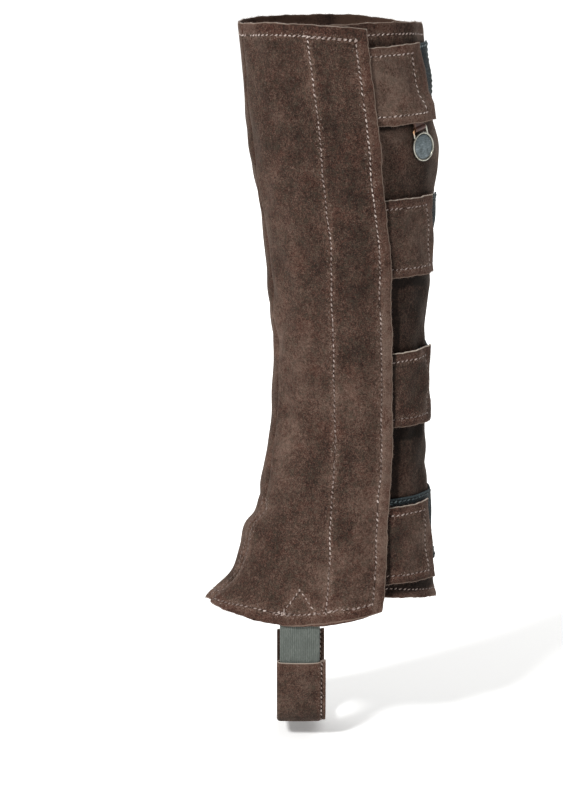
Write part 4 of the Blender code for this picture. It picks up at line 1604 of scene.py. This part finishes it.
class TapeLook(bpy.types.PropertyGroup):
    """The hook and loop tape's colours."""

    ground: colour_setting("Ground", "The tape's woven ground", 11, 14, 15)
    pile: colour_setting("Pile", "The tape's tufts", 30, 38, 41)
    tips: colour_setting("Tips", "The tips of the tufts", 92, 106, 110)
    thread: colour_setting("Thread", "The thread that holds the tape", 60, 76, 80)
    dirty: colour_setting("Dull thread", "Thread sunk in the tape", 24, 30, 32)
    bright: colour_setting("Bright thread", "Thread that catches the light", 150, 166, 168)


class ElasticLook(bpy.types.PropertyGroup):
    """The elastic's colours."""

    shadow: colour_setting("Between ribs", "The elastic between its ribs", 50, 54, 50)
    yarn: colour_setting("Yarn", "The elastic's main grey", 78, 83, 78)
    light: colour_setting("Rib tops", "The elastic's rubbed ribs", 114, 119, 113)


class BadgeLook(bpy.types.PropertyGroup):
    """The badge's and its leather loop's colours."""

    metal: colour_setting("Metal", "The badge's plating", 176, 175, 165)
    tarnish: colour_setting("Tarnish", "Tarnish on the plating", 112, 102, 84)
    copper: colour_setting("Copper", "Where the plating is worn off", 224, 170, 126)
    field: colour_setting("Field", "The badge's bare field", 85, 97, 101)
    field_dark: colour_setting("Dark field", "The field's darker patches", 42, 54, 56)
    field_bright: colour_setting("Bright field", "The field's rubbed patches", 120, 132, 138)
    grime: colour_setting("Grime", "Grime against the rim", 22, 27, 26)
    leather: colour_setting("Leather", "The badge's leather loop", 84, 50, 40)
    leather_dark: colour_setting("Dark leather", "The leather's darker patches", 44, 25, 20)
    leather_rubbed: colour_setting("Rubbed leather", "The leather's rubbed edges", 112, 78, 62)


class SewingLook(bpy.types.PropertyGroup):
    """The sewing's sizes and colours."""

    pitch: length_setting("Pitch", "From one stitch to the next", 3.5 * MM)
    stitch: length_setting("Stitch", "The length of thread that shows", 2.9 * MM)
    thread_size: length_setting("Thread", "The thread's thickness", 1.05 * MM)
    thread: colour_setting("Thread colour", "Clean thread", 132, 114, 106)
    dirty: colour_setting("Dirty thread", "Thread with suede dust on it", 82, 65, 57)
    bright: colour_setting("Bright thread", "The cleanest thread", 188, 172, 164)


class StageLook(bpy.types.PropertyGroup):
    """The floor and the lights."""

    floor: colour_setting("Floor", "The plain pale floor", 249, 249, 248)
    floor_gap: length_setting("Floor gap", "From the strap down to the floor", 9 * MM)
    key: bpy.props.FloatProperty(name="Key", description="Strength of the key light", min=0, default=3.22)
    back: bpy.props.FloatProperty(name="Back", description="Back light", unit="POWER", default=60)
    sky: bpy.props.FloatProperty(name="Sky", description="Light from all round", min=0, default=0.34)


class HalfChapLook(bpy.types.PropertyGroup):
    """All the settings of the half chap."""

    suede: bpy.props.PointerProperty(type=SuedeLook)
    tape: bpy.props.PointerProperty(type=TapeLook)
    elastic: bpy.props.PointerProperty(type=ElasticLook)
    badge: bpy.props.PointerProperty(type=BadgeLook)
    sewing: bpy.props.PointerProperty(type=SewingLook)
    stage: bpy.props.PointerProperty(type=StageLook)


def finish_of(name, make, *settings):
    """A material by name, made the first time that it is asked for."""
    return bpy.data.materials.get(name) or make(name, *settings)


def suede_set(look):
    """The suede's outside, cut edge and inside."""
    return (
        finish_of("brushed suede", suede_finish, look),
        finish_of("cut suede edge", cut_edge_finish, look),
        finish_of("suede inside", flesh_finish, look),
    )


# Operators


class HALFCHAP_OT_panels(bpy.types.Operator):
    """Makes the outer and the inner suede panel"""

    bl_idname = "half_chap.panels"
    bl_label = "Panels"

    def execute(self, context):
        materials = suede_set(context.scene.half_chap.suede)
        self.make_outer(materials)
        self.make_inner(materials)
        return {"FINISHED"}

    @staticmethod
    def grid(panel, nominal, step, rows, kept_end):
        """The arc lengths and heights of a panel's grid, whose rows near its edges keep their widths."""
        across = cut_lines(nominal, step, rows)
        down = cut_lines(PANEL_HEIGHT, step, [TOP_INSET, PANEL_HEIGHT - CLOSING_INSET])
        share = across / nominal
        high, low = edge_height(panel.top, share), edge_height(panel.hem, share)
        z = high - fitted(down[:, None], PANEL_HEIGHT, high - low, 12 * MM, 12 * MM)
        return panel.start(z) + fitted(across[None, :], nominal, panel.length(z), 5 * MM, kept_end), z

    def make_outer(self, materials):
        nominal = float(FORM.outer_width(0.0))
        rows = [nominal - CLOSING_INSET, nominal - CENTRE_INSET]
        s, z = self.grid(OuterPanel, nominal, OUTER_STEP, rows, CENTRE_INSET + 5 * MM)
        inset, from_top, from_hem, row = OuterPanel.distances(s, z)
        pale = 0.6 * bell(from_top, EDGE_HALF) + 0.3 * bell(from_hem, EDGE_HALF)
        pale = np.minimum(pale + 0.45 * bell(inset, EDGE_HALF), 1.0)
        rubbed = 0.05 + 0.85 * soft_step((RUBBED_TOP - z) / (70 * MM))
        worn = rubbed * soft_step((CLOSING_INSET + MM - inset) / (2 * MM))
        edge = nearest(inset, from_top, from_hem)
        marks = cloth_marks(edge, row, worn, pale, lobes(PATCHES, s, z))
        panel = cloth("outer_suede", OuterPanel.point(s, z), s, z, marks, SUEDE, materials)
        hand_over(panel, "outer_panel")
        area = flat_area(FORM.outer_width, 87 * MM, -316 * MM)

    def make_inner(self, materials):
        nominal = float(FORM.girth(0.0) - FORM.outer_width(0.0) + INNER_TUCK)
        s, z = self.grid(InnerPanel, nominal, INNER_STEP, [], 5 * MM)
        tucked, from_top, from_hem, row = InnerPanel.distances(s, z)
        pale = 0.45 * bell(from_top, EDGE_HALF) + 0.3 * bell(from_hem, EDGE_HALF)
        past_edge = s - FORM.outer_width(z)

        # Painted shade of the closing, deeper low down and further from the edge.
        sheltered = 0.54 + 0.31 * soft_step((past_edge - 14 * MM) / (28 * MM))
        sheltered = sheltered - 0.34 * soft_step((z + 45 * MM) / (30 * MM))
        sheltered = sheltered * bell(np.maximum(past_edge - 34 * MM, 0), PAINTED_SHADE_REACH / 2)

        # Painted shadow, deeper yet, right beside the closing edge, below each tab and at the last tab's
        # foot.
        beside = soft_step((SHADED_TOP - z) / (20 * MM)) * soft_step((SHADED_REACH - past_edge) / (1.6 * MM))
        below_tabs = sum(tab_shade(tab, past_edge, z) for tab in TABS)
        under_tab = bell(z - PAINTED_SHADE_FOOT - 4 * MM, 4 * MM)
        sheltered = np.minimum(sheltered + 0.9 * (beside + below_tabs) + 0.5 * under_tab, 1.0)
        sheltered = sheltered * (0.12 + 0.88 * soft_step((z - PAINTED_SHADE_FOOT) / (3 * MM) + 0.5))

        # Paler below the last tab, and painted light in two places below the first one.
        worn = 0.6 * soft_step((PAINTED_SHADE_FOOT - z) / (3 * MM))
        lit = soft_step((z - LIT_FOOT) / (6 * MM)) * soft_step((LIT_TOP - z) / (6 * MM))
        worn = worn + 1.6 * lit * bell(past_edge - 2 * MM, 4.5 * MM)
        worn = worn + 1.2 * bell(z - 14 * MM, 5.5 * MM) * bell(past_edge - 20 * MM, 10 * MM)
        # Darker by the patches, and by the painted shadow below the tabs.
        dark = lobes(PATCHES, s, z) + 0.6 * below_tabs
        marks = cloth_marks(nearest(tucked, from_top, from_hem), row, worn, pale, dark, sheltered)
        panel = cloth("inner_suede", InnerPanel.point(s, z), s, z, marks, SUEDE, materials)
        hand_over(panel, "inner_panel")

        def width_of(height):
            return FORM.girth(height) - InnerPanel.start(height)

        area = flat_area(width_of, 86 * MM, -312 * MM)
        flat = (float(width_of(-310 * MM)), PANEL_HEIGHT)


class HALFCHAP_OT_tabs(bpy.types.Operator):
    """Makes the four closing tabs, with the hook tape under each, and the loop tape that they close on"""

    bl_idname = "half_chap.tabs"
    bl_label = "Tabs and tape"

    def execute(self, context):
        look = context.scene.half_chap
        suede = suede_set(look.suede)
        hooks = finish_of("hook tape", pile_finish, look.tape, True)
        loops = finish_of("loop tape", pile_finish, look.tape)
        for number in range(1, len(TABS) + 1):
            self.make_tab(number, suede, hooks)
            self.make_patch(number, loops)
        return {"FINISHED"}

    @staticmethod
    def make_tab(number, suede, hooks):
        tab = ClosingTab(number)
        height, length = (float(v) for v in tab.size(0.5, 0.5))
        end_row = length - tab.cut.end_inset * MM
        across = cut_lines(length, TAB_STEP, [end_row])[None, :] / length
        down = cut_lines(height, TAB_STEP, [TAB_INSET, height - TAB_INSET])[:, None] / height
        along, below = across * length, down * height
        edge, row = tab.distances(across, down)
        # A paler middle: wear, and partly painted light.
        middle = 1 - (1 - TAB_TUCK / length) * (1 - tab.cut.worn_at)
        off_middle = np.hypot((across - middle) * length, (down - 0.45) * height)
        worn = tab.cut.worn * bell(off_middle, 17 * MM)
        # Paler cut edges, palest at the top, partly a painted highlight.
        pale = tab.cut.pale * bell(below, EDGE_HALF) + 0.3 * bell((1 - across) * length, EDGE_HALF)
        pale = pale + 0.4 * bell((1 - down) * height, EDGE_HALF)
        # Painted shade in the crevice beside the closing edge, deeper on the darker tabs.
        crevice = soft_step((CREVICE_REACH - along + TAB_TUCK) / CREVICE_FALL)
        sheltered = (0.38 + 1.3 * tab.cut.dark) * crevice
        marks = cloth_marks(edge, row, worn, pale, tab.cut.dark, sheltered)
        points, thickness = tab.point(across, down), TAB_CLOTH - HOOK_TAPE
        piece = cloth(f"tab_suede_{number}", points, along, below, marks, thickness, suede)
        hand_over(piece, f"tab_{number}")

        across = np.linspace(TAB_TUCK / length, 1 - HOOK_INSET / length, 30)[None, :]
        down = np.linspace(HOOK_INSET / height, 1 - HOOK_INSET / height, 34)[:, None]
        reach, drop = (1 - TAB_TUCK / length) * length - HOOK_INSET, height - 2 * HOOK_INSET
        along, below = across * length - TAB_TUCK, down * height - HOOK_INSET
        marks = cloth_marks(nearest(along, reach - along, below, drop - below))
        points, thickness = tab.hook_point(across, down), HOOK_TAPE - 0.1 * MM
        tape = cloth(f"hook_tape_{number}", points, along, below, marks, thickness, [hooks] * 3)
        hand_over(tape)

    @staticmethod
    def make_patch(number, loops):
        patch = LoopPatch(number)
        along = cut_lines(patch.length, TAB_STEP)[None, :]
        below = cut_lines(TAPE_HEIGHT, TAB_STEP)[:, None]
        across, down = along / patch.length, below / TAPE_HEIGHT
        marks, points = cloth_marks(*patch.distances(across, down)), patch.point(across, down)
        piece = cloth(f"loop_tape_{number}", points, along, below, marks, LOOP_TAPE, [loops] * 3)
        hand_over(piece, f"loop_patch_{number}")


class HALFCHAP_OT_strap(bpy.types.Operator):
    """Makes the elastic boot strap and the suede sleeve round it"""

    bl_idname = "half_chap.strap"
    bl_label = "Boot strap"

    def execute(self, context):
        look = context.scene.half_chap
        self.make_elastic(finish_of("ribbed elastic", elastic_finish, look.elastic))
        self.make_sleeve(suede_set(look.suede))
        return {"FINISHED"}

    @staticmethod
    def make_elastic(material):
        length = BootStrap.length(0, 1)
        columns = np.linspace(0, 1, ELASTIC_RIBS * 4 + 1)
        share = np.linspace(0, 1, round(length / (1.6 * MM)))
        rises = RIB_HEIGHT * np.sin(columns * ELASTIC_RIBS * 2 * np.pi) - ELASTIC / 2
        xs = STRAP_X + (columns - 0.5) * STRAP_BREADTH
        points = np.stack([BootStrap.point(x, share, rise) for x, rise in zip(xs, rises)], axis=1)
        across, along = columns[None, :] * STRAP_BREADTH, share[:, None] * length
        marks = cloth_marks(nearest(across, STRAP_BREADTH - across, along, length - along))
        thickness = ELASTIC - 2 * RIB_HEIGHT
        strap = cloth("elastic_webbing", points, across, along, marks, thickness, [material] * 3)
        hand_over(strap, "elastic_strap")

    @staticmethod
    def profile():
        """The sleeve's section, from the rear edge round the front fold and back, as X and rise."""
        pressed = SLEEVE_SUEDE / 2 + 0.06 * MM
        fold = SLEEVE_FRONT + SLEEVE_HALF + SLEEVE_SUEDE / 2
        rear = STRAP_X + STRAP_BREADTH / 2
        x = cut_lines(SLEEVE_BACK - fold, 1.0 * MM)[::-1] + fold
        gap = pressed + (SLEEVE_HALF - pressed) * soft_step((rear + 1.9 * MM - x) / (2.4 * MM))
        gap = gap + 0.25 * MM * np.sin((x - fold) / (rear - fold) * np.pi) * (x < rear)
        turn = np.linspace(np.pi / 2, 3 * np.pi / 2, 14)[1:-1]
        xs = np.concatenate([x, fold + SLEEVE_HALF * np.cos(turn), x[::-1]])
        rises = np.concatenate([gap, SLEEVE_HALF * np.sin(turn), -gap[::-1]])
        return xs, rises - ELASTIC / 2

    def make_sleeve(self, materials):
        xs, rises = self.profile()
        start = BootStrap.share_at(SLEEVE_TOP)
        rear = bell(SLEEVE_BACK - xs, 4.5 * MM) * SLEEVE_FLARE
        front = bell(xs - SLEEVE_FRONT, 3 * MM) * 0.4 * MM
        starts = BootStrap.share_at(SLEEVE_TOP + rear + front - 0.3 * MM)
        length = BootStrap.length(start, 1 - start)
        lines = cut_lines(length, 1.3 * MM) / length
        way = zip(xs, rises, starts)
        grid = [BootStrap.point(x, first + lines * (1 - 2 * first), rise) for x, rise, first in way]
        points = np.stack(grid, axis=1)
        run = lengths_along(np.stack([xs, rises], axis=1))
        along, across = lines[:, None] * length, run[None, :]
        edge = nearest(along, length - along, across, run[-1] - across)
        row = np.broadcast_to(np.abs(xs - SLEEVE_BACK + SLEEVE_ROW_INSET)[None, :], edge.shape)
        points = points - off_strap(rises, points) * stitch_dip(row)[..., None]
        pale = 0.7 * bell(np.minimum(along, length - along), EDGE_HALF)
        # Darker towards the bottom: painted shade where the sleeve curves under.
        dark = 0.6 * soft_step((SLEEVE_SHADE_TOP - points[..., 2]) / (13 * MM))
        # Painted shade in the groove along the row of stitches.
        marks = cloth_marks(edge, row, 0.3, pale, dark, 0.9 * bell(row, 0.9 * MM))

        # The columns are turned about, so that the outside face is the one away from the strap.
        marks = {name: values[:, ::-1] for name, values in marks.items()}
        points, across = points[:, ::-1], across[:, ::-1]
        sleeve = cloth("sleeve_suede", points, across, along, marks, SLEEVE_SUEDE, materials)
        hand_over(sleeve, "strap_sleeve")


def off_strap(rises, points):
    """The direction off the strap's middle at each point of the sleeve."""
    back = np.roll(points, -1, axis=0) - np.roll(points, 1, axis=0)
    back[0], back[-1] = points[1] - points[0], points[-1] - points[-2]
    outward = unit(np.cross(unit(back), [1.0, 0.0, 0.0]))
    return outward * np.sign(rises + ELASTIC / 2)[None, :, None]


class HALFCHAP_OT_badge(bpy.types.Operator):
    """Makes the badge with its bail and field, and the leather loop that it hangs on"""

    bl_idname = "half_chap.badge"
    bl_label = "Badge"

    def execute(self, context):
        look = context.scene.half_chap.badge
        place = badge_place()
        metal = finish_of("aged plating", metal_finish, look, 0.3)
        self.make_plate(place, metal)
        self.make_field(place, finish_of("badge field", enamel_finish, look))
        self.make_bail(place, metal)
        self.make_loop(place, finish_of("loop leather", leather_finish, look))
        return {"FINISHED"}

    @staticmethod
    def turned(name, profile, place, material, marks=None):
        """A turned disc from a profile of radius and height, stretched to the badge's shape. Its mark,
        where it has one, grows towards the rim."""
        bm = bmesh.new()
        verts = [bm.verts.new((r, 0, h)) for r, h in profile]
        edges = [bm.edges.new(pair) for pair in zip(verts, verts[1:])]
        turn = {"axis": (0, 0, 1), "cent": (0, 0, 0), "angle": 2 * math.pi, "steps": 72}
        bmesh.ops.spin(bm, geom=verts + edges, use_merge=True, **turn)
        close_up(bm)
        radii = [vert.co.xy.length for vert in bm.verts]
        stretch = Matrix.Diagonal((BADGE_BREADTH / BADGE_HEIGHT, 1, 1, 1))
        stand = Matrix.Rotation(math.pi / 2, 4, "X")
        drop = Matrix.Translation((0, 0, -BAIL_DROP - BADGE_HEIGHT / 2))
        bmesh.ops.transform(bm, matrix=place @ drop @ stand @ stretch, verts=bm.verts)
        mesh = mesh_from(bm, name)
        if marks:
            set_mark(mesh, marks, bell(BADGE_HEIGHT / 2 - RIM_BREADTH - np.array(radii), 0.9 * MM))
        mesh.shade_smooth()
        return make_object(name, mesh, material)

    def make_plate(self, place, material):
        radius, half = BADGE_HEIGHT / 2, PLATE_THICK / 2
        rim, rise = RIM_BREADTH / 2, 0.55 * MM
        bead = np.linspace(0, np.pi, 13)
        face = [(radius - rim + rim * math.cos(a), half - rise + rise * math.sin(a)) for a in bead]
        floor = half - FIELD_SUNK - 0.35 * MM
        back = [(radius - 0.3 * MM, -half), (radius, -half + 0.3 * MM)]
        profile = [(0, -half), *back, *face, (radius - RIM_BREADTH, floor), (0, floor)]
        plate = self.turned("badge_plate", profile, place, material)
        hand_over(plate, "badge", "badge_body")

    def make_field(self, place, material):
        edge, top = BADGE_HEIGHT / 2 - RIM_BREADTH, PLATE_THICK / 2 - FIELD_SUNK
        radii = np.linspace(0, 1, 10)
        crown = [(float(edge * r), float(top + 0.28 * MM * (1 - r * r))) for r in radii]
        profile = [*crown, (edge, top - 0.3 * MM), (0, top - 0.3 * MM)]
        field = self.turned("badge_field", profile, place, material, "grime")
        hand_over(field, body="badge_body")

    @staticmethod
    def make_bail(place, material):
        half, corner = BAIL_HALF_BREADTH, BAIL_CORNER
        foot = -BAIL_DROP - RIM_BREADTH * 2.2
        turn = np.linspace(0, math.pi / 2, 7)
        right = [(half - corner + corner * math.cos(a), -corner + corner * math.sin(a)) for a in turn]
        left = [(-across, up) for across, up in right[::-1]]
        leg = np.linspace(foot, -corner, 8)[:-1]
        route = [(half, z) for z in leg] + right + left + [(-half, z) for z in leg[::-1]]
        curve = bpy.data.curves.new("bail", "CURVE")
        curve.dimensions = "3D"
        curve.bevel_depth = BAIL_WIRE
        curve.bevel_resolution = 4
        curve.use_fill_caps = True
        spline = curve.splines.new("POLY")
        spline.points.add(len(route) - 1)
        for point, (across, up) in zip(spline.points, route):
            point.co = (across, 0, up, 1)
        bm = bmesh.new()
        bm.from_mesh(plain_mesh(make_object("bail curve", curve)))
        close_up(bm)
        mesh = mesh_from(bm, "badge_bail")
        bared = Vector((-half, 0, -corner / 2))
        away = np.array([(vert.co - bared).length for vert in mesh.vertices])
        set_mark(mesh, "bare", bell(away, 2.4 * MM))
        mesh.transform(place)
        mesh.shade_smooth()
        hand_over(make_object("badge_bail", mesh, material), body="badge_body")

    @staticmethod
    def make_loop(place, material):
        middle = LOOP_HOLE + LOOP_LEATHER / 2
        top = LOOP_HOLE + LOOP_LEATHER + LOOP_NECK + LOOP_TONGUE
        shut = LOOP_LEATHER / 2 + 0.03 * MM
        shoulder = math.asin(shut / middle)
        turn = np.linspace(math.pi / 2 + shoulder, 2.5 * math.pi - shoulder, 30)
        arc = [(middle * math.cos(a), middle * math.sin(a)) for a in turn]
        rise = np.linspace(middle * math.cos(shoulder) + 0.3 * MM, top, 12)
        way = [(-shut, z) for z in rise[::-1]] + arc + [(shut, z) for z in rise]
        columns = cut_lines(LOOP_BREADTH, 0.6 * MM) - LOOP_BREADTH / 2
        path = np.array(way)
        run = lengths_along(path)
        pinch = 1 - 0.12 * bell(path[:, 1] - rise[2], 2 * MM)
        points = np.array([[(c * p, y, z) for c in columns] for (y, z), p in zip(way, pinch)])
        points = np.array([[place @ Vector(point) for point in line] for line in points])
        across = columns[None, :] + LOOP_BREADTH / 2
        along = run[:, None]
        marks = cloth_marks(nearest(across, LOOP_BREADTH - across, along + MM, run[-1] - along + MM))
        loop = cloth("leather_loop", points, across, along, marks, LOOP_LEATHER, [material] * 3)
        hand_over(loop, "badge_loop")


def badge_place():
    """The bail's axis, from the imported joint: X runs along it and -Y faces out."""
    joint = next(j for j in frame["joints"] if j["name"] == "badge_swing")
    along = -Vector(joint["axis"]).normalized()
    inward = Vector((0, 0, 1)).cross(along).normalized()
    turn = Matrix((along, inward, along.cross(inward))).transposed().to_4x4()
    return Matrix.Translation(joint["pos_m"]) @ turn


class HALFCHAP_OT_sewing(bpy.types.Operator):
    """Sews the panels, tabs, loop tape and sleeve, a row of stitches at a time"""

    bl_idname = "half_chap.sewing"
    bl_label = "Sewing"

    def execute(self, context):
        look = context.scene.half_chap
        self.sew(look.sewing, look.tape)
        self.fray(look.suede)
        return {"FINISHED"}

    @staticmethod
    def sew(look, tape_look):
        thread = finish_of("beige thread", thread_finish, look)
        threads = {
            "instep": finish_of("dull thread", thread_finish, look, 0.75),
            "tape": finish_of("tape thread", thread_finish, tape_look, 0.5),
            "tab": finish_of("rubbed thread", thread_finish, look, 0.25),
        }
        sewn = {
            "outer_stitches": outer_rows(),
            "inner_stitches": inner_rows(),
            "sleeve_stitches": [sleeve_row(1), sleeve_row(-1)],
        }
        for number in range(1, len(TABS) + 1):
            sewn[f"tab_stitches_{number}"] = tab_rows(ClosingTab(number))
            sewn[f"tape_stitches_{number}"] = patch_rows(LoopPatch(number))
        sewn["instep_stitches"] = instep_rows()
        tree, sockets = stitch_tree()
        for seed, (name, rows) in enumerate(sewn.items()):
            settings = {
                "Pitch": look.pitch,
                "Length": look.stitch,
                "Thread": look.thread_size,
                "Slant": STITCH_SLANT,
                "Wander": STITCH_WANDER,
                "Kept": STITCHES_KEPT,
                "Seed": 20 * seed,
                "Material": threads.get(name.split("_")[0], thread),
            }
            hand_over(grown(name, rows, tree, sockets, settings))

    @staticmethod
    def fray(look):
        frayed = {"outer_fibres": outer_edges(), "inner_fibres": edge_paths(InnerPanel, 0.01, 400)}
        for number in range(1, len(TABS) + 1):
            frayed[f"tab_fibres_{number}"] = tab_edges(ClosingTab(number))
        tree, sockets = fibre_tree()
        for seed, (name, edges) in enumerate(frayed.items()):
            settings = {
                "Pitch": look.fibre_pitch,
                "Length": look.fibre_length,
                "Fibre": look.fibre,
                "Wander": FIBRE_WANDER,
                "Seed": 500 + 20 * seed,
                "Material": finish_of("cut suede edge", cut_edge_finish, look),
            }
            hand_over(grown(name, edges, tree, sockets, settings))


class HALFCHAP_OT_stage(bpy.types.Operator):
    """Makes the floor, the lights and the camera"""

    bl_idname = "half_chap.stage"
    bl_label = "Stage"

    def execute(self, context):
        look = context.scene.half_chap.stage
        self.make_floor(look)
        self.make_lights(context.scene, look)
        self.make_camera(context.scene)
        context.scene.view_settings.view_transform = "Standard"
        return {"FINISHED"}

    @staticmethod
    def make_floor(look):
        finish = Finish("pale floor")
        cloud = finish.noise(3, 2.0, 0.5)
        colour = finish.mix(cloud * 0.2, look.floor, tuple(c * 0.94 for c in look.floor))
        finish.set(Base_Color=colour, Roughness=0.9)
        material = finish.set(Emission_Color=rgba(look.floor), Emission_Strength=0.22)
        bm = bmesh.new()
        bmesh.ops.create_circle(bm, cap_ends=True, segments=64, radius=24)
        down = CAD_BOX[0].z - look.floor_gap
        bmesh.ops.translate(bm, verts=bm.verts, vec=(0, 0, down))
        make_object("floor", mesh_from(bm, "floor"), material)

    @staticmethod
    def make_lights(scene, look):
        world = bpy.data.worlds.new("studio")
        scene.world = world
        world.use_nodes = True
        sky = world.node_tree.nodes["Background"]
        sky.inputs["Color"].default_value = (1.0, 1.0, 1.0, 1.0)
        sky.inputs["Strength"].default_value = look.sky
        key = bpy.data.lights.new("key", "SUN")
        key.energy = look.key
        key.angle = math.radians(KEY_BREADTH)
        lamp = make_object("key", key)
        lamp.rotation_euler = (math.radians(90 - KEY_UP), 0, math.radians(-KEY_ASIDE))
        back = bpy.data.lights.new("back", "AREA")
        back.energy = look.back
        back.size = BACK_SIZE
        lamp = make_object("back", back)
        lamp.location = BACK_PLACE
        aim = Vector(BACK_AIM) - lamp.location
        lamp.rotation_euler = aim.to_track_quat("-Z", "Y").to_euler()

    @staticmethod
    def make_camera(scene):
        data = bpy.data.cameras.new("camera")
        data.lens = CAMERA_LENS
        data.sensor_width = CAMERA_SENSOR
        scene.camera = make_object("camera", data)
        scene.camera.location = CAMERA_PLACE
        scene.camera.rotation_euler = (math.radians(CAMERA_TILT), 0, 0)


class HALFCHAP_PT_sidebar(bpy.types.Panel):
    """The half chap's steps and settings, in the 3D view's sidebar"""

    bl_label = "Half chap"
    bl_space_type = "VIEW_3D"
    bl_region_type = "UI"
    bl_category = "Half chap"

    def draw(self, context):
        for operator in OPERATORS:
            self.layout.operator(operator.bl_idname)
        look = context.scene.half_chap
        for label in HalfChapLook.__annotations__:
            group = getattr(look, label)
            box = self.layout.box()
            for setting in type(group).__annotations__:
                box.prop(group, setting)


OPERATORS = (
    HALFCHAP_OT_panels,
    HALFCHAP_OT_tabs,
    HALFCHAP_OT_strap,
    HALFCHAP_OT_badge,
    HALFCHAP_OT_sewing,
    HALFCHAP_OT_stage,
)
GROUPS = (SuedeLook, TapeLook, ElasticLook, BadgeLook, SewingLook, StageLook, HalfChapLook)
CLASSES = (*GROUPS, *OPERATORS, HALFCHAP_PT_sidebar)


def register():
    for cls in CLASSES:
        bpy.utils.register_class(cls)
    bpy.types.Scene.half_chap = bpy.props.PointerProperty(type=HalfChapLook)


def unregister():
    del bpy.types.Scene.half_chap
    for cls in reversed(CLASSES):
        bpy.utils.unregister_class(cls)


def main():
    register()
    bpy.ops.half_chap.panels()
    bpy.ops.half_chap.tabs()
    bpy.ops.half_chap.strap()
    bpy.ops.half_chap.badge()
    bpy.ops.half_chap.sewing()
    bpy.ops.half_chap.stage()


if __name__ == "__main__":
    main()
